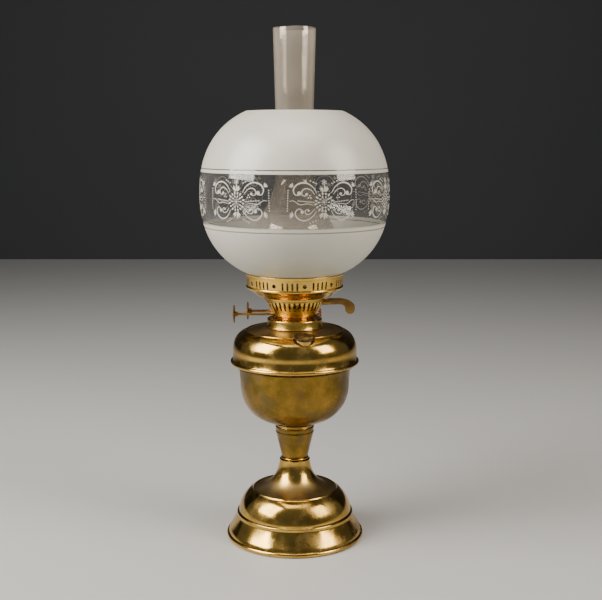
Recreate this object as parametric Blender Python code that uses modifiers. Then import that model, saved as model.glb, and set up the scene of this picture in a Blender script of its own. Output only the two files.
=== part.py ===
"""Brass duplex oil lamp: pedestal foot, oil font, two-wick burner, glass chimney and globe shade.

Metres, +Z up. The origin is the centre of the foot's rim where it stands on the table. -Y is the
front, the side of the filler cap; the wick winders point to -X and the extinguisher lever to +X.
"""

import math

import bmesh
import bpy
from mathutils import Euler, Matrix, Vector

# ---- Facets and clearances -------------------------------------------------------------------
ROUND_STEPS = 28  # sides of the large turned pieces
SMALL_STEPS = 12  # sides of nuts, pins, spindles and other small round pieces
FIT = 0.0003  # gap between pieces that touch
RUNNING = 0.0004  # radial room around what turns or slides
MERGE = 0.00001
EDGE = 0.0006  # small chamfers of turned edges
THROUGH = 0.0040  # how far a cutter runs past what it cuts

# ---- Foot and stem ---------------------------------------------------------------------------
SHEET = 0.0008  # spun brass of foot, bowl and dome
FOOT_RIM_R = 0.0727  # centre of the rolled rim
RIM_BEAD_R = 0.0026
RIM_FLAT = 0.0028  # width of the flat that the lamp stands on
SKIRT_TOP_Z = 0.0245
STEP_R = 0.0640  # the lower step line
STEP_Z = 0.0278
CROWN_R = 0.0225  # radial size of the convex crown above the step
CROWN_H = 0.0335
CROWN_CENTRE_Z = 0.0200
CROWN_INSET = 0.0015  # crown's widest point inside the step line
SKIRT_WAIST = 0.0030  # hollow of the skirt, in from the rim's centre, at half its height
PLATE_RING_R = 0.0455  # ring line where the neck's flare starts
PLATE_RING_Z = 0.0530
NECK_R = 0.0166
FOOT_TOP_Z = 0.0860
LOWER_RING_R = 0.0152
LOWER_RING_H = 0.0020
TAPER_BOTTOM_R = 0.0144
TAPER_TOP_R = 0.0209
TAPER_H = 0.0286
TAPER_WALL = 0.0012
UPPER_RING_R = 0.0212
UPPER_RING_H = 0.0052
SEAT_TOP_R = 0.0226
SEAT_H = 0.0036
STEM_BORE_R = 0.0090  # bore of the rings of the stem
GROOVE = 0.0005

# ---- Tie rod and ballast ---------------------------------------------------------------------
ROD_R = 0.0030
ROD_BOTTOM_Z = 0.0170
NUT_FLATS = 0.0100
NUT_H = 0.0050
WASHER_R = 0.0090
WASHER_H = 0.0010
ROD_SPARE = 0.0025  # rod past its upper nut
BALLAST_R = 0.0500
BALLAST_BOTTOM_Z = 0.0266
BALLAST_EDGE_H = 0.0080
BALLAST_HUB_R = 0.0120
BALLAST_HUB_H = 0.0200
BALLAST_SHOULDER_R = 0.0360
BALLAST_SHOULDER_H = 0.0160

# ---- Oil font --------------------------------------------------------------------------------
BOWL_R = 0.0589
BOWL_FLAT_R = 0.0100  # radius at which the bowl's round side starts from its bottom
BOWL_DEPTH = 0.0460
BOWL_WALL_H = 0.0110  # nearly straight wall over the round part
BOWL_LIP_R = 0.0640
BOWL_LIP_H = 0.0062
BOWL_COVE_R = 0.0605
BOWL_COVE_DROP = 0.0018
DOME_R = 0.0668
SHOULDER_R = 0.0198  # radial size of the dome's shoulder
SHOULDER_H = 0.0228
DOME_WALL_H = 0.0092  # straight wall from the bead to the shoulder
FONT_BEAD_R = 0.0021
BEAD_PROUD = 0.0027
PLATEAU_RING_R = 0.0530
PLATEAU_RISE = 0.0036  # rise of the plateau from its ring line to the collar
RING_LINE = 0.0005  # width and height of the plateau's ring line
SUPER = 2.3  # power of the squarish round of bowl, dome and globe
COLLAR_R = 0.0295
COLLAR_EDGE = 0.0012
COLLAR_H = 0.0093
COLLAR_BORE_R = 0.0206
COLLAR_LEDGE_R = 0.0186
COLLAR_LEDGE_H = 0.0020
COLLAR_FOOT_R = 0.0315
COLLAR_FOOT_H = 0.0010

# ---- Filler ----------------------------------------------------------------------------------
FILLER_X = 0.0102
FILLER_Y = -0.0530
FILLER_TILT = math.atan(PLATEAU_RISE / (PLATEAU_RING_R - COLLAR_FOOT_R))
FILLER_NECK_R = 0.0088
FILLER_BORE_R = 0.0068
FILLER_NECK_H = 0.0098
FILLER_PROUD = 0.0001  # neck over the plateau at the filler's centre
CAP_R = 0.0115
CAP_H = 0.0019
CAP_PLUG_R = 0.0063
CAP_PLUG_H = 0.0040
GASKET_H = 0.0007

# ---- Burner ----------------------------------------------------------------------------------
BURNER_SHEET = 0.0007
NIPPLE_BORE_R = 0.0179
BURNER_GASKET_H = 0.0012
CUP_BOTTOM_R = 0.0198
CUP_TOP_R = 0.0252
CUP_H = 0.0068
BASKET_TOP_R = 0.0318
BASKET_H = 0.0210  # from the cup's bottom to the basket's rim
BASKET_BAND_H = 0.0040
SLOT_COUNT = 36
SLOT_W = 0.0024
SLOT_H = 0.0088
SLOT_LIFT = 0.0074  # slot bottoms over the cup's bottom
BASKET_SHOULDER = 0.0018
FLOOR_H = 0.0010
DIFFUSER_LIFT = 0.0118
DIFFUSER_H = 0.0008
AIR_HOLES = 12
AIR_HOLE_R = 0.0011
AIR_RING_R = 0.0205

# ---- Wicks and wick tubes --------------------------------------------------------------------
WICK_HALF_W = 0.0125
WICK_T = 0.0022
WICK_SPACING = 0.0104  # between the middles of the two wicks
WICK_BOTTOM_Z = 0.1500
WICK_SHOWS = 0.0010  # wick over its tube
TUBE_ROOM = 0.00065  # between wick and tube
TUBE_WALL = 0.00055
TUBE_BELOW = 0.0040  # tube under the burner's floor
TUBE_TOP_Z = 0.2860

# ---- Wick winders ----------------------------------------------------------------------------
SPINDLE_R = 0.0013
SPINDLE_LIFT = 0.0052  # spindle axis over the cup's bottom
WHEEL_R = 0.0040
WHEEL_TEETH = 12
WHEEL_TOOTH = 0.0008
WHEEL_T = 0.0012
WHEEL_X = 0.0075
KNOB_R = 0.0095
KNOB_T = 0.0014
HUB_R = 0.0030
HUB_L = 0.0036
FRONT_KNOB_X = -0.0645
REAR_KNOB_X = -0.0510
SPINDLE_SPARE = 0.0010  # spindle's end outside the cup's widest part
STOP_R = 0.0024
STOP_L = 0.0022

# ---- Extinguisher ----------------------------------------------------------------------------
SNUFFER_ROOM = 0.0003
SNUFFER_WALL = 0.0004
SNUFFER_TOP_Z = 0.2850
SNUFFER_H = 0.0190
BRIDGE_L = 0.0072
BRIDGE_T = 0.0008
LEVER_T = 0.0016
PIVOT_ROOM = 0.0008  # between the pivot's ears and the basket
PIVOT_LIFT = 0.0158  # pivot over the cup's bottom
PIVOT_R = 0.0009
LEVER_TIP_X = 0.0157
LEVER_TIP_H = 0.0020
LEVER_HALF_H = 0.0023  # at the pivot and where the strip leaves the basket
STRIP_TOP = 0.0034  # top edge of the strip over the pivot, outside the gallery
STRIP_BOTTOM = 0.0030
STRIP_START = 0.0095
STRIP_END = 0.0180
BEND_X = 0.0265
BEND_DROP = 0.0052
LOBE_X = 0.0320
LOBE_DROP = 0.0098
LOBE_R = 0.0046
EAR_T = 0.0008
EAR_GAP = 0.0005
EAR_L = 0.0030
EAR_ARM = 0.0014
EAR_HALF_H = 0.0020
PIN_SPARE = 0.0006
NOTCH_W = 0.0030
NOTCH_BELOW = 0.0060
NOTCH_ABOVE = 0.0030

# ---- Gallery, flame dome and chimney seat ----------------------------------------------------
GALLERY_FLARE = 0.0020  # how far the wall leans out
GALLERY_FLOOR_R = 0.0510  # wall's foot, around the globe's fitter
GALLERY_H = 0.0163
GALLERY_BOTTOM_Z = 0.2754
GALLERY_DISH_DROP = 0.0092  # from the wall's foot to the inner floor
GALLERY_LEDGE = 0.0046  # width of the ledge under the globe
GALLERY_LEDGE_DROP = 0.0024
GALLERY_BEAD = 0.0004
GALLERY_BEAD_H = 0.0024
HOLE_TURN = math.radians(-78)  # where the first round hole lies, from +X
GALLERY_SKIRT_H = 0.0045
HOLE_GROUPS = 10
SLOTS_IN_GROUP = 4
HOLE_R = 0.0021
WALL_SLOT_W = 0.0020
WALL_SLOT_H = 0.0078
WALL_SLOT_LIFT = 0.0008  # slots over the foot of the flaring wall
FLOOR_SLOTS = 16
FLOOR_SLOT_W = 0.0030
FLOOR_SLOT_IN = 0.0386
FLOOR_SLOT_OUT = 0.0438
SEAT_ROOM = 0.0023  # between the chimney's foot and its seat, for the prongs
SEAT_WALL_H = 0.0132
SEAT_FLANGE_W = 0.0017
SEAT_PLATE_Z = 0.2767
SEAT_PLATE_H = 0.0008
SEAT_PLATE_BORE_R = 0.0245
PRONG_COUNT = 4
PRONG_W = 0.0060
PRONG_T = 0.0005
PRONG_REACH = 0.0060  # from the seat's edge up to where the prong grips the chimney
PRONG_TIP = 0.0030
PRONG_FLARE = 0.0014
FLAME_DOME_R = 0.0270
FLAME_DOME_H = 0.0135
FLAME_DOME_LIFT = 0.0016
FLAME_FLANGE_ROOM = 0.0009  # inside the chimney's foot
FLAME_SLOT_ROOM = 0.0006
FLAME_SLOT_LIFT = 0.0050

# ---- Glass -----------------------------------------------------------------------------------
CHIMNEY_WALL = 0.0018
CHIMNEY_BASE_R = 0.0315
CHIMNEY_BASE_H = 0.0125
CHIMNEY_NECK_R = 0.0195
CHIMNEY_FLARE = 0.0027
CHIMNEY_NECK_LIFT = 0.1660  # narrowest point over the chimney's foot
BULGE_SWELL = 0.0250
BULGE_LIFT = 0.0480  # widest point over the chimney's foot
BULGE_UPPER = 0.0380
BULGE_LOWER = 0.0414
BULGE_POWER = 2.2
CHIMNEY_H = 0.2672
GLOBE_WALL = 0.0026
GLOBE_R = 0.1000
GLOBE_UPPER_H = 0.0945
GLOBE_LOWER_H = 0.0935
GLOBE_TOP_R = 0.0510
FITTER_ROOM = 0.0006  # between the globe's fitter and the gallery
FITTER_H = 0.0120
FITTER_ROLL = 0.0005
GLOBE_THROAT_H = 0.0028  # from the fitter's wall up to the round body

# ---- Heights that follow from the stack ------------------------------------------------------
LOWER_RING_Z = FOOT_TOP_Z + FIT
TAPER_Z = LOWER_RING_Z + LOWER_RING_H + FIT
UPPER_RING_Z = TAPER_Z + TAPER_H + FIT
SEAT_Z = UPPER_RING_Z + UPPER_RING_H + FIT
BOWL_Z = SEAT_Z + SEAT_H + FIT
BOWL_TURN_Z = BOWL_Z + BOWL_DEPTH
BOWL_TOP_Z = BOWL_TURN_Z + BOWL_WALL_H + BOWL_LIP_H
DOME_BASE_Z = BOWL_TOP_Z + FIT + SHEET
BEAD_Z = DOME_BASE_Z + 2 * FONT_BEAD_R
SHOULDER_Z = BEAD_Z + FONT_BEAD_R + DOME_WALL_H


def super_height(radius, semi_r, semi_z):
    """Height of a squarish ellipse over its centre, at a distance from its axis."""
    share = min(1.0, abs(radius) / semi_r)
    return semi_z * (1 - share**SUPER) ** (1 / SUPER)


def basket_radius(lift):
    """Radius of the basket's cone at a height over the cup's bottom, at the middle of its facets."""
    cone_top = BASKET_H - BASKET_BAND_H - BASKET_SHOULDER
    share = (lift - CUP_H) / (cone_top - CUP_H)
    radius = CUP_TOP_R + share * (BASKET_TOP_R - BASKET_SHOULDER - CUP_TOP_R)
    return radius * math.cos(math.pi / SLOT_COUNT)


PLATEAU_RING_Z = SHOULDER_Z + super_height(PLATEAU_RING_R - DOME_R + SHOULDER_R, SHOULDER_R, SHOULDER_H)
PLATEAU_Z = PLATEAU_RING_Z + PLATEAU_RISE
COLLAR_Z = PLATEAU_Z + FIT
COLLAR_TOP_Z = COLLAR_Z + COLLAR_H
GASKET_Z = COLLAR_Z + COLLAR_LEDGE_H + FIT
NIPPLE_Z = GASKET_Z + BURNER_GASKET_H + FIT
NIPPLE_R = COLLAR_BORE_R - RUNNING
CUP_Z = COLLAR_TOP_Z + 2 * FIT
BASKET_TOP_Z = CUP_Z + BASKET_H
SPINDLE_Z = CUP_Z + SPINDLE_LIFT
SPINDLE_END_X = CUP_TOP_R + SPINDLE_SPARE
PIVOT_Z = CUP_Z + PIVOT_LIFT
WICK_Y = WICK_SPACING / 2
SPINDLE_Y = WICK_Y + WICK_T / 2 + FIT + WHEEL_R
TUBE_HALF_T = WICK_T / 2 + TUBE_ROOM + TUBE_WALL
TUBE_HALF_W = WICK_HALF_W + TUBE_ROOM + TUBE_WALL
SNUFFER_HALF_T = TUBE_HALF_T + SNUFFER_ROOM + SNUFFER_WALL
SNUFFER_HALF_W = TUBE_HALF_W + SNUFFER_ROOM + SNUFFER_WALL
SNUFFER_Z = SNUFFER_TOP_Z - SNUFFER_H
GALLERY_FLOOR_Z = GALLERY_BOTTOM_Z - GALLERY_DISH_DROP
PIVOT_X = basket_radius(PIVOT_LIFT - EAR_HALF_H) - BURNER_SHEET - EAR_ARM - PIVOT_ROOM
GALLERY_TOP_R = GALLERY_FLOOR_R + GALLERY_FLARE
SKIRT_R = BASKET_TOP_R + RUNNING + BURNER_SHEET
SEAT_WALL_R = CHIMNEY_BASE_R + SEAT_ROOM + BURNER_SHEET
SEAT_FLANGE_R = SEAT_WALL_R + SEAT_FLANGE_W
FLAME_FLANGE_R = CHIMNEY_BASE_R - CHIMNEY_WALL - FLAME_FLANGE_ROOM
SEAT_WALL_Z = GALLERY_FLOOR_Z + BURNER_SHEET + FIT
CHIMNEY_Z = SEAT_PLATE_Z + SEAT_PLATE_H + FIT
GLOBE_BOTTOM_Z = GALLERY_BOTTOM_Z + BURNER_SHEET + FIT
FITTER_R = GALLERY_FLOOR_R - BURNER_SHEET - FITTER_ROOM
GLOBE_THROAT_Z = GLOBE_BOTTOM_Z + FITTER_H + GLOBE_THROAT_H
GLOBE_CENTRE_Z = GLOBE_THROAT_Z + super_height(FITTER_R + FITTER_ROLL, GLOBE_R, GLOBE_LOWER_H)

BRASS = (0.80, 0.58, 0.20, 1.0)
GOLD_BRASS = (0.86, 0.60, 0.14, 1.0)
OLD_BRASS = (0.42, 0.28, 0.10, 1.0)
TARNISH = (0.14, 0.11, 0.08, 1.0)
IRON = (0.05, 0.05, 0.05, 1.0)
STEEL = (0.45, 0.45, 0.44, 1.0)
LEATHER = (0.22, 0.12, 0.06, 1.0)
COTTON = (0.78, 0.72, 0.58, 1.0)
SMOKED = (0.72, 0.68, 0.58, 0.35)
FROSTED = (0.88, 0.88, 0.84, 0.60)


# ---- Tools -----------------------------------------------------------------------------------
def clear_scene():
    for obj in list(bpy.data.objects):
        bpy.data.objects.remove(obj)


def collection(name):
    made = bpy.data.collections.new(name)
    bpy.context.scene.collection.children.link(made)
    return made


def material(name, colour, roughness, metallic=0.0):
    made = bpy.data.materials.new(name)
    made.use_nodes = True
    shader = made.node_tree.nodes["Principled BSDF"]
    shader.inputs["Base Color"].default_value = colour
    shader.inputs["Roughness"].default_value = roughness
    shader.inputs["Metallic"].default_value = metallic
    shader.inputs["Alpha"].default_value = colour[3]
    made.diffuse_color = colour
    return made


def new_object(name, mesh, finish=None):
    obj = bpy.data.objects.new(name, mesh)
    (LAMP if finish else CUTTERS).objects.link(obj)
    if finish:
        obj.data.materials.append(finish)
    else:
        obj.hide_render = True
        obj.display_type = "WIRE"
    return obj


def arc(centre, radius, start, end, steps):
    """Points of an arc in the profile plane; the angles are in degrees from +X towards +Z."""
    made = []
    for k in range(steps + 1):
        turn = math.radians(start + (end - start) * k / steps)
        made.append((centre[0] + radius * math.cos(turn), centre[1] + radius * math.sin(turn)))
    return made


def super_arc(centre, semi_r, semi_z, start, end, steps, power=SUPER):
    """Points of a squarish ellipse's arc in the profile plane, with angles in degrees as in arc."""
    made = []
    for k in range(steps + 1):
        turn = math.radians(start + (end - start) * k / steps)
        c, s = math.cos(turn), math.sin(turn)
        out = math.copysign(abs(c) ** (2 / power), c) * semi_r
        up = math.copysign(abs(s) ** (2 / power), s) * semi_z
        made.append((centre[0] + out, centre[1] + up))
    return made


def spin(obj, steps):
    """Turns a profile a full round about the axis."""
    screw = obj.modifiers.new("Turn", "SCREW")
    screw.axis = "Z"
    screw.angle = math.tau
    screw.steps = screw.render_steps = steps
    screw.use_merge_vertices = True
    screw.merge_threshold = MERGE
    screw.use_smooth_shade = True


def turned(name, profile, finish=None, wall=0.0, steps=ROUND_STEPS):
    """A turned piece. A closed profile makes a ring; an open one gets a wall on its inner side."""
    mesh = bpy.data.meshes.new(name)
    count = len(profile)
    edges = [(i, i + 1) for i in range(count - 1)]
    if not wall:
        edges.append((count - 1, 0))
    mesh.from_pydata([(r, 0.0, z) for r, z in profile], edges, [])
    obj = new_object(name, mesh, finish)
    spin(obj, steps)
    if wall:
        solidify = obj.modifiers.new("Wall", "SOLIDIFY")
        solidify.thickness = wall
        solidify.offset = -1.0
        solidify.use_even_offset = True
    return obj


def ring(name, inner, outer, bottom, top, finish=None, steps=ROUND_STEPS):
    """A plain ring, or with inner 0 a plain disc, drawn down its outer side."""
    profile = [(outer, top), (outer, bottom)]
    if inner:
        return turned(name, profile + [(inner, bottom), (inner, top)], finish, steps=steps)
    return turned_solid(name, [(0.0, top)] + profile + [(0.0, bottom)], finish, steps)


def turned_solid(name, profile, finish=None, steps=SMALL_STEPS):
    """A turned piece with no bore: its open profile starts and ends on the axis."""
    mesh = bpy.data.meshes.new(name)
    mesh.from_pydata(
        [(r, 0.0, z) for r, z in profile], [(i, i + 1) for i in range(len(profile) - 1)], []
    )
    obj = new_object(name, mesh, finish)
    spin(obj, steps)
    return obj


def box_mesh(name, low, high):
    mesh = bpy.data.meshes.new(name)
    shape = bmesh.new()
    size = Vector(high) - Vector(low)
    place = Matrix.Translation((Vector(high) + Vector(low)) / 2) @ Matrix.Diagonal((*size, 1.0))
    bmesh.ops.create_cube(shape, size=1.0, matrix=place)
    shape.to_mesh(mesh)
    shape.free()
    return mesh


def box(name, low, high, finish=None):
    return new_object(name, box_mesh(name, low, high), finish)


def rod(name, radius, start, end, finish=None, steps=SMALL_STEPS):
    """A round rod from one point to another."""
    start, end = Vector(start), Vector(end)
    mesh = bpy.data.meshes.new(name)
    shape = bmesh.new()
    turn = (end - start).to_track_quat("Z", "Y").to_matrix().to_4x4()
    bmesh.ops.create_cone(
        shape,
        cap_ends=True,
        segments=steps,
        radius1=radius,
        radius2=radius,
        depth=(end - start).length,
        matrix=Matrix.Translation((start + end) / 2) @ turn,
    )
    shape.to_mesh(mesh)
    shape.free()
    mesh.shade_smooth()
    mesh.set_sharp_from_angle(angle=math.radians(35))
    return new_object(name, mesh, finish)


def outline_plate(name, points, thickness, finish, bores=()):
    """A flat plate in the XZ plane, centred on Y = 0, cut to an outline with round bores."""
    curve = bpy.data.curves.new(name, "CURVE")
    curve.dimensions = "2D"
    curve.fill_mode = "BOTH"
    curve.extrude = thickness / 2
    loops = [points]
    for (x, z), radius in bores:
        loops.append(arc((x, z), radius, 0, 330, 11))
    for loop in loops:
        spline = curve.splines.new("POLY")
        spline.points.add(len(loop) - 1)
        for point, (x, z) in zip(spline.points, loop):
            point.co = (x, z, 0.0, 1.0)
        spline.use_cyclic_u = True
    guide = bpy.data.objects.new(name + "_outline", curve)
    CUTTERS.objects.link(guide)
    guide.rotation_euler = (math.pi / 2, 0.0, 0.0)
    bpy.context.view_layer.update()
    graph = bpy.context.evaluated_depsgraph_get()
    mesh = bpy.data.meshes.new_from_object(guide.evaluated_get(graph))
    mesh.transform(guide.matrix_world)
    bpy.data.objects.remove(guide)
    shape = bmesh.new()
    shape.from_mesh(mesh)
    bmesh.ops.remove_doubles(shape, verts=shape.verts, dist=MERGE)
    bmesh.ops.recalc_face_normals(shape, faces=shape.faces)
    shape.to_mesh(mesh)
    shape.free()
    mesh.materials.clear()
    return new_object(name, mesh, finish)


def hexagon(name, flats, bore, bottom, top, finish):
    """A hexagon nut with a plain bore."""
    nut = rod(name, flats / math.sqrt(3), (0, 0, bottom), (0, 0, top), finish, steps=6)
    cut(nut, rod(name + "_bore", bore, (0, 0, bottom - bore), (0, 0, top + bore)))
    return nut


def cut(obj, cutter, operation="DIFFERENCE"):
    boolean = obj.modifiers.new("Cut", "BOOLEAN")
    boolean.operation = operation
    boolean.solver = "EXACT"
    boolean.object = cutter
    return obj


def joined_boxes(name, boxes):
    """One cutter made of several boxes, each (low, high, turn about Z in radians)."""
    mesh = bpy.data.meshes.new(name)
    shape = bmesh.new()
    for low, high, turn in boxes:
        size = Vector(high) - Vector(low)
        place = Matrix.Rotation(turn, 4, "Z") @ Matrix.Translation((Vector(high) + Vector(low)) / 2)
        bmesh.ops.create_cube(shape, size=1.0, matrix=place @ Matrix.Diagonal((*size, 1.0)))
    shape.to_mesh(mesh)
    shape.free()
    return new_object(name, mesh)


def joined_rods(name, places, radius, length, steps):
    """One cutter made of equal rods, each centred on a place matrix and lying along its Z."""
    mesh = bpy.data.meshes.new(name)
    shape = bmesh.new()
    for place in places:
        bmesh.ops.create_cone(
            shape,
            cap_ends=True,
            segments=steps,
            radius1=radius,
            radius2=radius,
            depth=length,
            matrix=place,
        )
    shape.to_mesh(mesh)
    shape.free()
    return new_object(name, mesh)


# ---- Foot, stem and tie rod ------------------------------------------------------------------
def make_foot():
    crown_centre = (STEP_R - CROWN_R - CROWN_INSET, CROWN_CENTRE_Z)
    ring_angle = math.degrees(math.asin((PLATE_RING_Z - CROWN_CENTRE_Z - EDGE) / CROWN_H))
    step_angle = math.degrees(math.asin((STEP_Z - CROWN_CENTRE_Z) / CROWN_H))
    flare_centre = (PLATE_RING_R, FOOT_TOP_Z)
    profile = [(NECK_R - EDGE, FOOT_TOP_Z), (NECK_R, FOOT_TOP_Z - EDGE)]
    profile += super_arc(
        flare_centre, PLATE_RING_R - NECK_R, FOOT_TOP_Z - PLATE_RING_Z, 188, 262, 3, power=2
    )
    profile += [(PLATE_RING_R, PLATE_RING_Z + EDGE)]
    profile += super_arc(crown_centre, CROWN_R, CROWN_H, ring_angle, step_angle, 3, power=2)
    profile += [
        (STEP_R, STEP_Z - 2 * EDGE),
        (STEP_R - EDGE / 2, SKIRT_TOP_Z),
        (FOOT_RIM_R - SKIRT_WAIST, SKIRT_TOP_Z / 2),
    ]
    profile += arc((FOOT_RIM_R, RIM_BEAD_R), RIM_BEAD_R, 70, -90, 3)
    profile += [(FOOT_RIM_R - RIM_FLAT, 0.0)]
    turned("foot_shell", profile, MAT["brass"], wall=SHEET)


def make_ballast():
    top = BALLAST_BOTTOM_Z + BALLAST_HUB_H
    turned(
        "foot_ballast",
        [
            (ROD_R + RUNNING, top),
            (BALLAST_HUB_R, top),
            (BALLAST_SHOULDER_R, BALLAST_BOTTOM_Z + BALLAST_SHOULDER_H),
            (BALLAST_R, BALLAST_BOTTOM_Z + BALLAST_EDGE_H),
            (BALLAST_R, BALLAST_BOTTOM_Z),
            (ROD_R + RUNNING, BALLAST_BOTTOM_Z),
        ],
        MAT["iron"],
    )


def make_stem():
    ring_top = LOWER_RING_Z + LOWER_RING_H
    ring("stem_lower_ring", STEM_BORE_R, LOWER_RING_R, LOWER_RING_Z, ring_top, MAT["brass"])
    taper_top = TAPER_Z + TAPER_H
    turned(
        "stem_taper",
        [
            (TAPER_TOP_R, taper_top),
            (TAPER_BOTTOM_R, TAPER_Z),
            (TAPER_BOTTOM_R - TAPER_WALL, TAPER_Z),
            (TAPER_TOP_R - TAPER_WALL, taper_top),
        ],
        MAT["brass"],
    )
    middle = UPPER_RING_Z + UPPER_RING_H / 2
    turned(
        "stem_upper_ring",
        [
            (UPPER_RING_R - GROOVE, UPPER_RING_Z + UPPER_RING_H),
            (UPPER_RING_R, UPPER_RING_Z + UPPER_RING_H - GROOVE),
            (UPPER_RING_R, middle + GROOVE),
            (UPPER_RING_R - GROOVE, middle),
            (UPPER_RING_R, middle - GROOVE),
            (UPPER_RING_R, UPPER_RING_Z + GROOVE),
            (UPPER_RING_R - GROOVE, UPPER_RING_Z),
            (STEM_BORE_R, UPPER_RING_Z),
            (STEM_BORE_R, UPPER_RING_Z + UPPER_RING_H),
        ],
        MAT["brass"],
    )
    turned(
        "bowl_seat",
        [
            (SEAT_TOP_R, SEAT_Z + SEAT_H),
            (UPPER_RING_R - GROOVE, SEAT_Z + SEAT_H / 2),
            (UPPER_RING_R - GROOVE, SEAT_Z),
            (STEM_BORE_R, SEAT_Z),
            (STEM_BORE_R, SEAT_Z + SEAT_H),
        ],
        MAT["brass"],
    )


def make_tie_rod():
    bore = ROD_R + FIT
    lower_washer = BALLAST_BOTTOM_Z - FIT - WASHER_H
    lower_nut = lower_washer - FIT - NUT_H
    upper_washer = BOWL_Z + SHEET + FIT
    upper_nut = upper_washer + WASHER_H + FIT
    rod("tie_rod", ROD_R, (0, 0, ROD_BOTTOM_Z), (0, 0, upper_nut + NUT_H + ROD_SPARE), MAT["steel"])
    for place, washer, nut in (("lower", lower_washer, lower_nut), ("upper", upper_washer, upper_nut)):
        ring(f"tie_washer_{place}", bore, WASHER_R, washer, washer + WASHER_H, MAT["steel"], SMALL_STEPS)
        hexagon(f"tie_nut_{place}", NUT_FLATS, bore, nut, nut + NUT_H, MAT["steel"])


# ---- Oil font --------------------------------------------------------------------------------
def filler_place():
    """Where the filler stands: its local +Z is the screw's axis, tilted outwards from the lamp's."""
    heading = math.atan2(FILLER_Y, FILLER_X)
    distance = math.hypot(FILLER_X, FILLER_Y)
    share = (PLATEAU_RING_R - distance) / (PLATEAU_RING_R - COLLAR_FOOT_R)
    height = PLATEAU_RING_Z + share * PLATEAU_RISE
    tilt = Euler((0.0, FILLER_TILT, 0.0)).to_matrix().to_4x4()
    spin = Matrix.Rotation(heading, 4, "Z")
    return Matrix.Translation((FILLER_X, FILLER_Y, height)) @ spin @ tilt


def make_font():
    lip_steps = [
        (BOWL_LIP_R, BOWL_TOP_Z),
        (BOWL_COVE_R, BOWL_TOP_Z - BOWL_COVE_DROP),
        (BOWL_R + EDGE, BOWL_TURN_Z + BOWL_WALL_H),
    ]
    side = super_arc((BOWL_FLAT_R, BOWL_TURN_Z), BOWL_R - BOWL_FLAT_R, BOWL_DEPTH, 0, -90, 5)
    turned("font_bowl", lip_steps + side + [(ROD_R + FIT, BOWL_Z)], MAT["brass"], wall=SHEET)

    shoulder_centre = (DOME_R - SHOULDER_R, SHOULDER_Z)
    ring_share = (PLATEAU_RING_R - DOME_R + SHOULDER_R) / SHOULDER_R
    start = math.degrees(math.acos(ring_share ** (SUPER / 2)))
    plateau = [
        (COLLAR_BORE_R, PLATEAU_Z),
        (COLLAR_FOOT_R, PLATEAU_Z),
        (PLATEAU_RING_R - 2 * RING_LINE, PLATEAU_RING_Z),
        (PLATEAU_RING_R - RING_LINE, PLATEAU_RING_Z + RING_LINE),
    ]
    shoulder = super_arc(shoulder_centre, SHOULDER_R, SHOULDER_H, start, 0, 4)
    bead = arc((DOME_R + BEAD_PROUD - FONT_BEAD_R, BEAD_Z), FONT_BEAD_R, 80, -70, 3)
    dome = turned(
        "font_dome",
        plateau + shoulder + bead + [(BOWL_LIP_R, DOME_BASE_Z)],
        MAT["brass"],
        wall=SHEET,
    )
    hole = rod("filler_hole", FILLER_NECK_R + FIT, (0, 0, -FILLER_NECK_H), (0, 0, FILLER_NECK_H))
    hole.matrix_world = filler_place()
    cut(dome, hole)


def make_collar():
    turned(
        "font_collar",
        [
            (COLLAR_BORE_R, COLLAR_TOP_Z),
            (COLLAR_R - COLLAR_EDGE, COLLAR_TOP_Z),
            (COLLAR_R, COLLAR_TOP_Z - COLLAR_EDGE),
            (COLLAR_R, COLLAR_Z + COLLAR_FOOT_H + EDGE),
            (COLLAR_FOOT_R, COLLAR_Z + COLLAR_FOOT_H),
            (COLLAR_FOOT_R, COLLAR_Z),
            (COLLAR_LEDGE_R, COLLAR_Z),
            (COLLAR_LEDGE_R, COLLAR_Z + COLLAR_LEDGE_H),
            (COLLAR_BORE_R, COLLAR_Z + COLLAR_LEDGE_H),
        ],
        MAT["brass"],
    )


def make_filler():
    place = filler_place()
    top = FILLER_PROUD
    bottom = top - FILLER_NECK_H
    neck = ring("filler_neck", FILLER_BORE_R, FILLER_NECK_R, bottom, top, MAT["brass"], SMALL_STEPS)
    gasket_z = top + FIT
    gasket_top = gasket_z + GASKET_H
    gasket_bore = CAP_PLUG_R + RUNNING
    gasket = ring(
        "filler_gasket", gasket_bore, FILLER_NECK_R, gasket_z, gasket_top, MAT["leather"], SMALL_STEPS
    )
    under = gasket_top + FIT
    cap = turned_solid(
        "filler_cap",
        [
            (0.0, under + CAP_H),
            (CAP_R - EDGE, under + CAP_H),
            (CAP_R, under + CAP_H - EDGE),
            (CAP_R, under + EDGE),
            (CAP_R - EDGE, under),
            (CAP_PLUG_R, under),
            (CAP_PLUG_R, under - CAP_PLUG_H),
            (0.0, under - CAP_PLUG_H),
        ],
        MAT["tarnish"],
        24,
    )
    for piece in (neck, gasket, cap):
        piece.matrix_world = place


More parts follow.
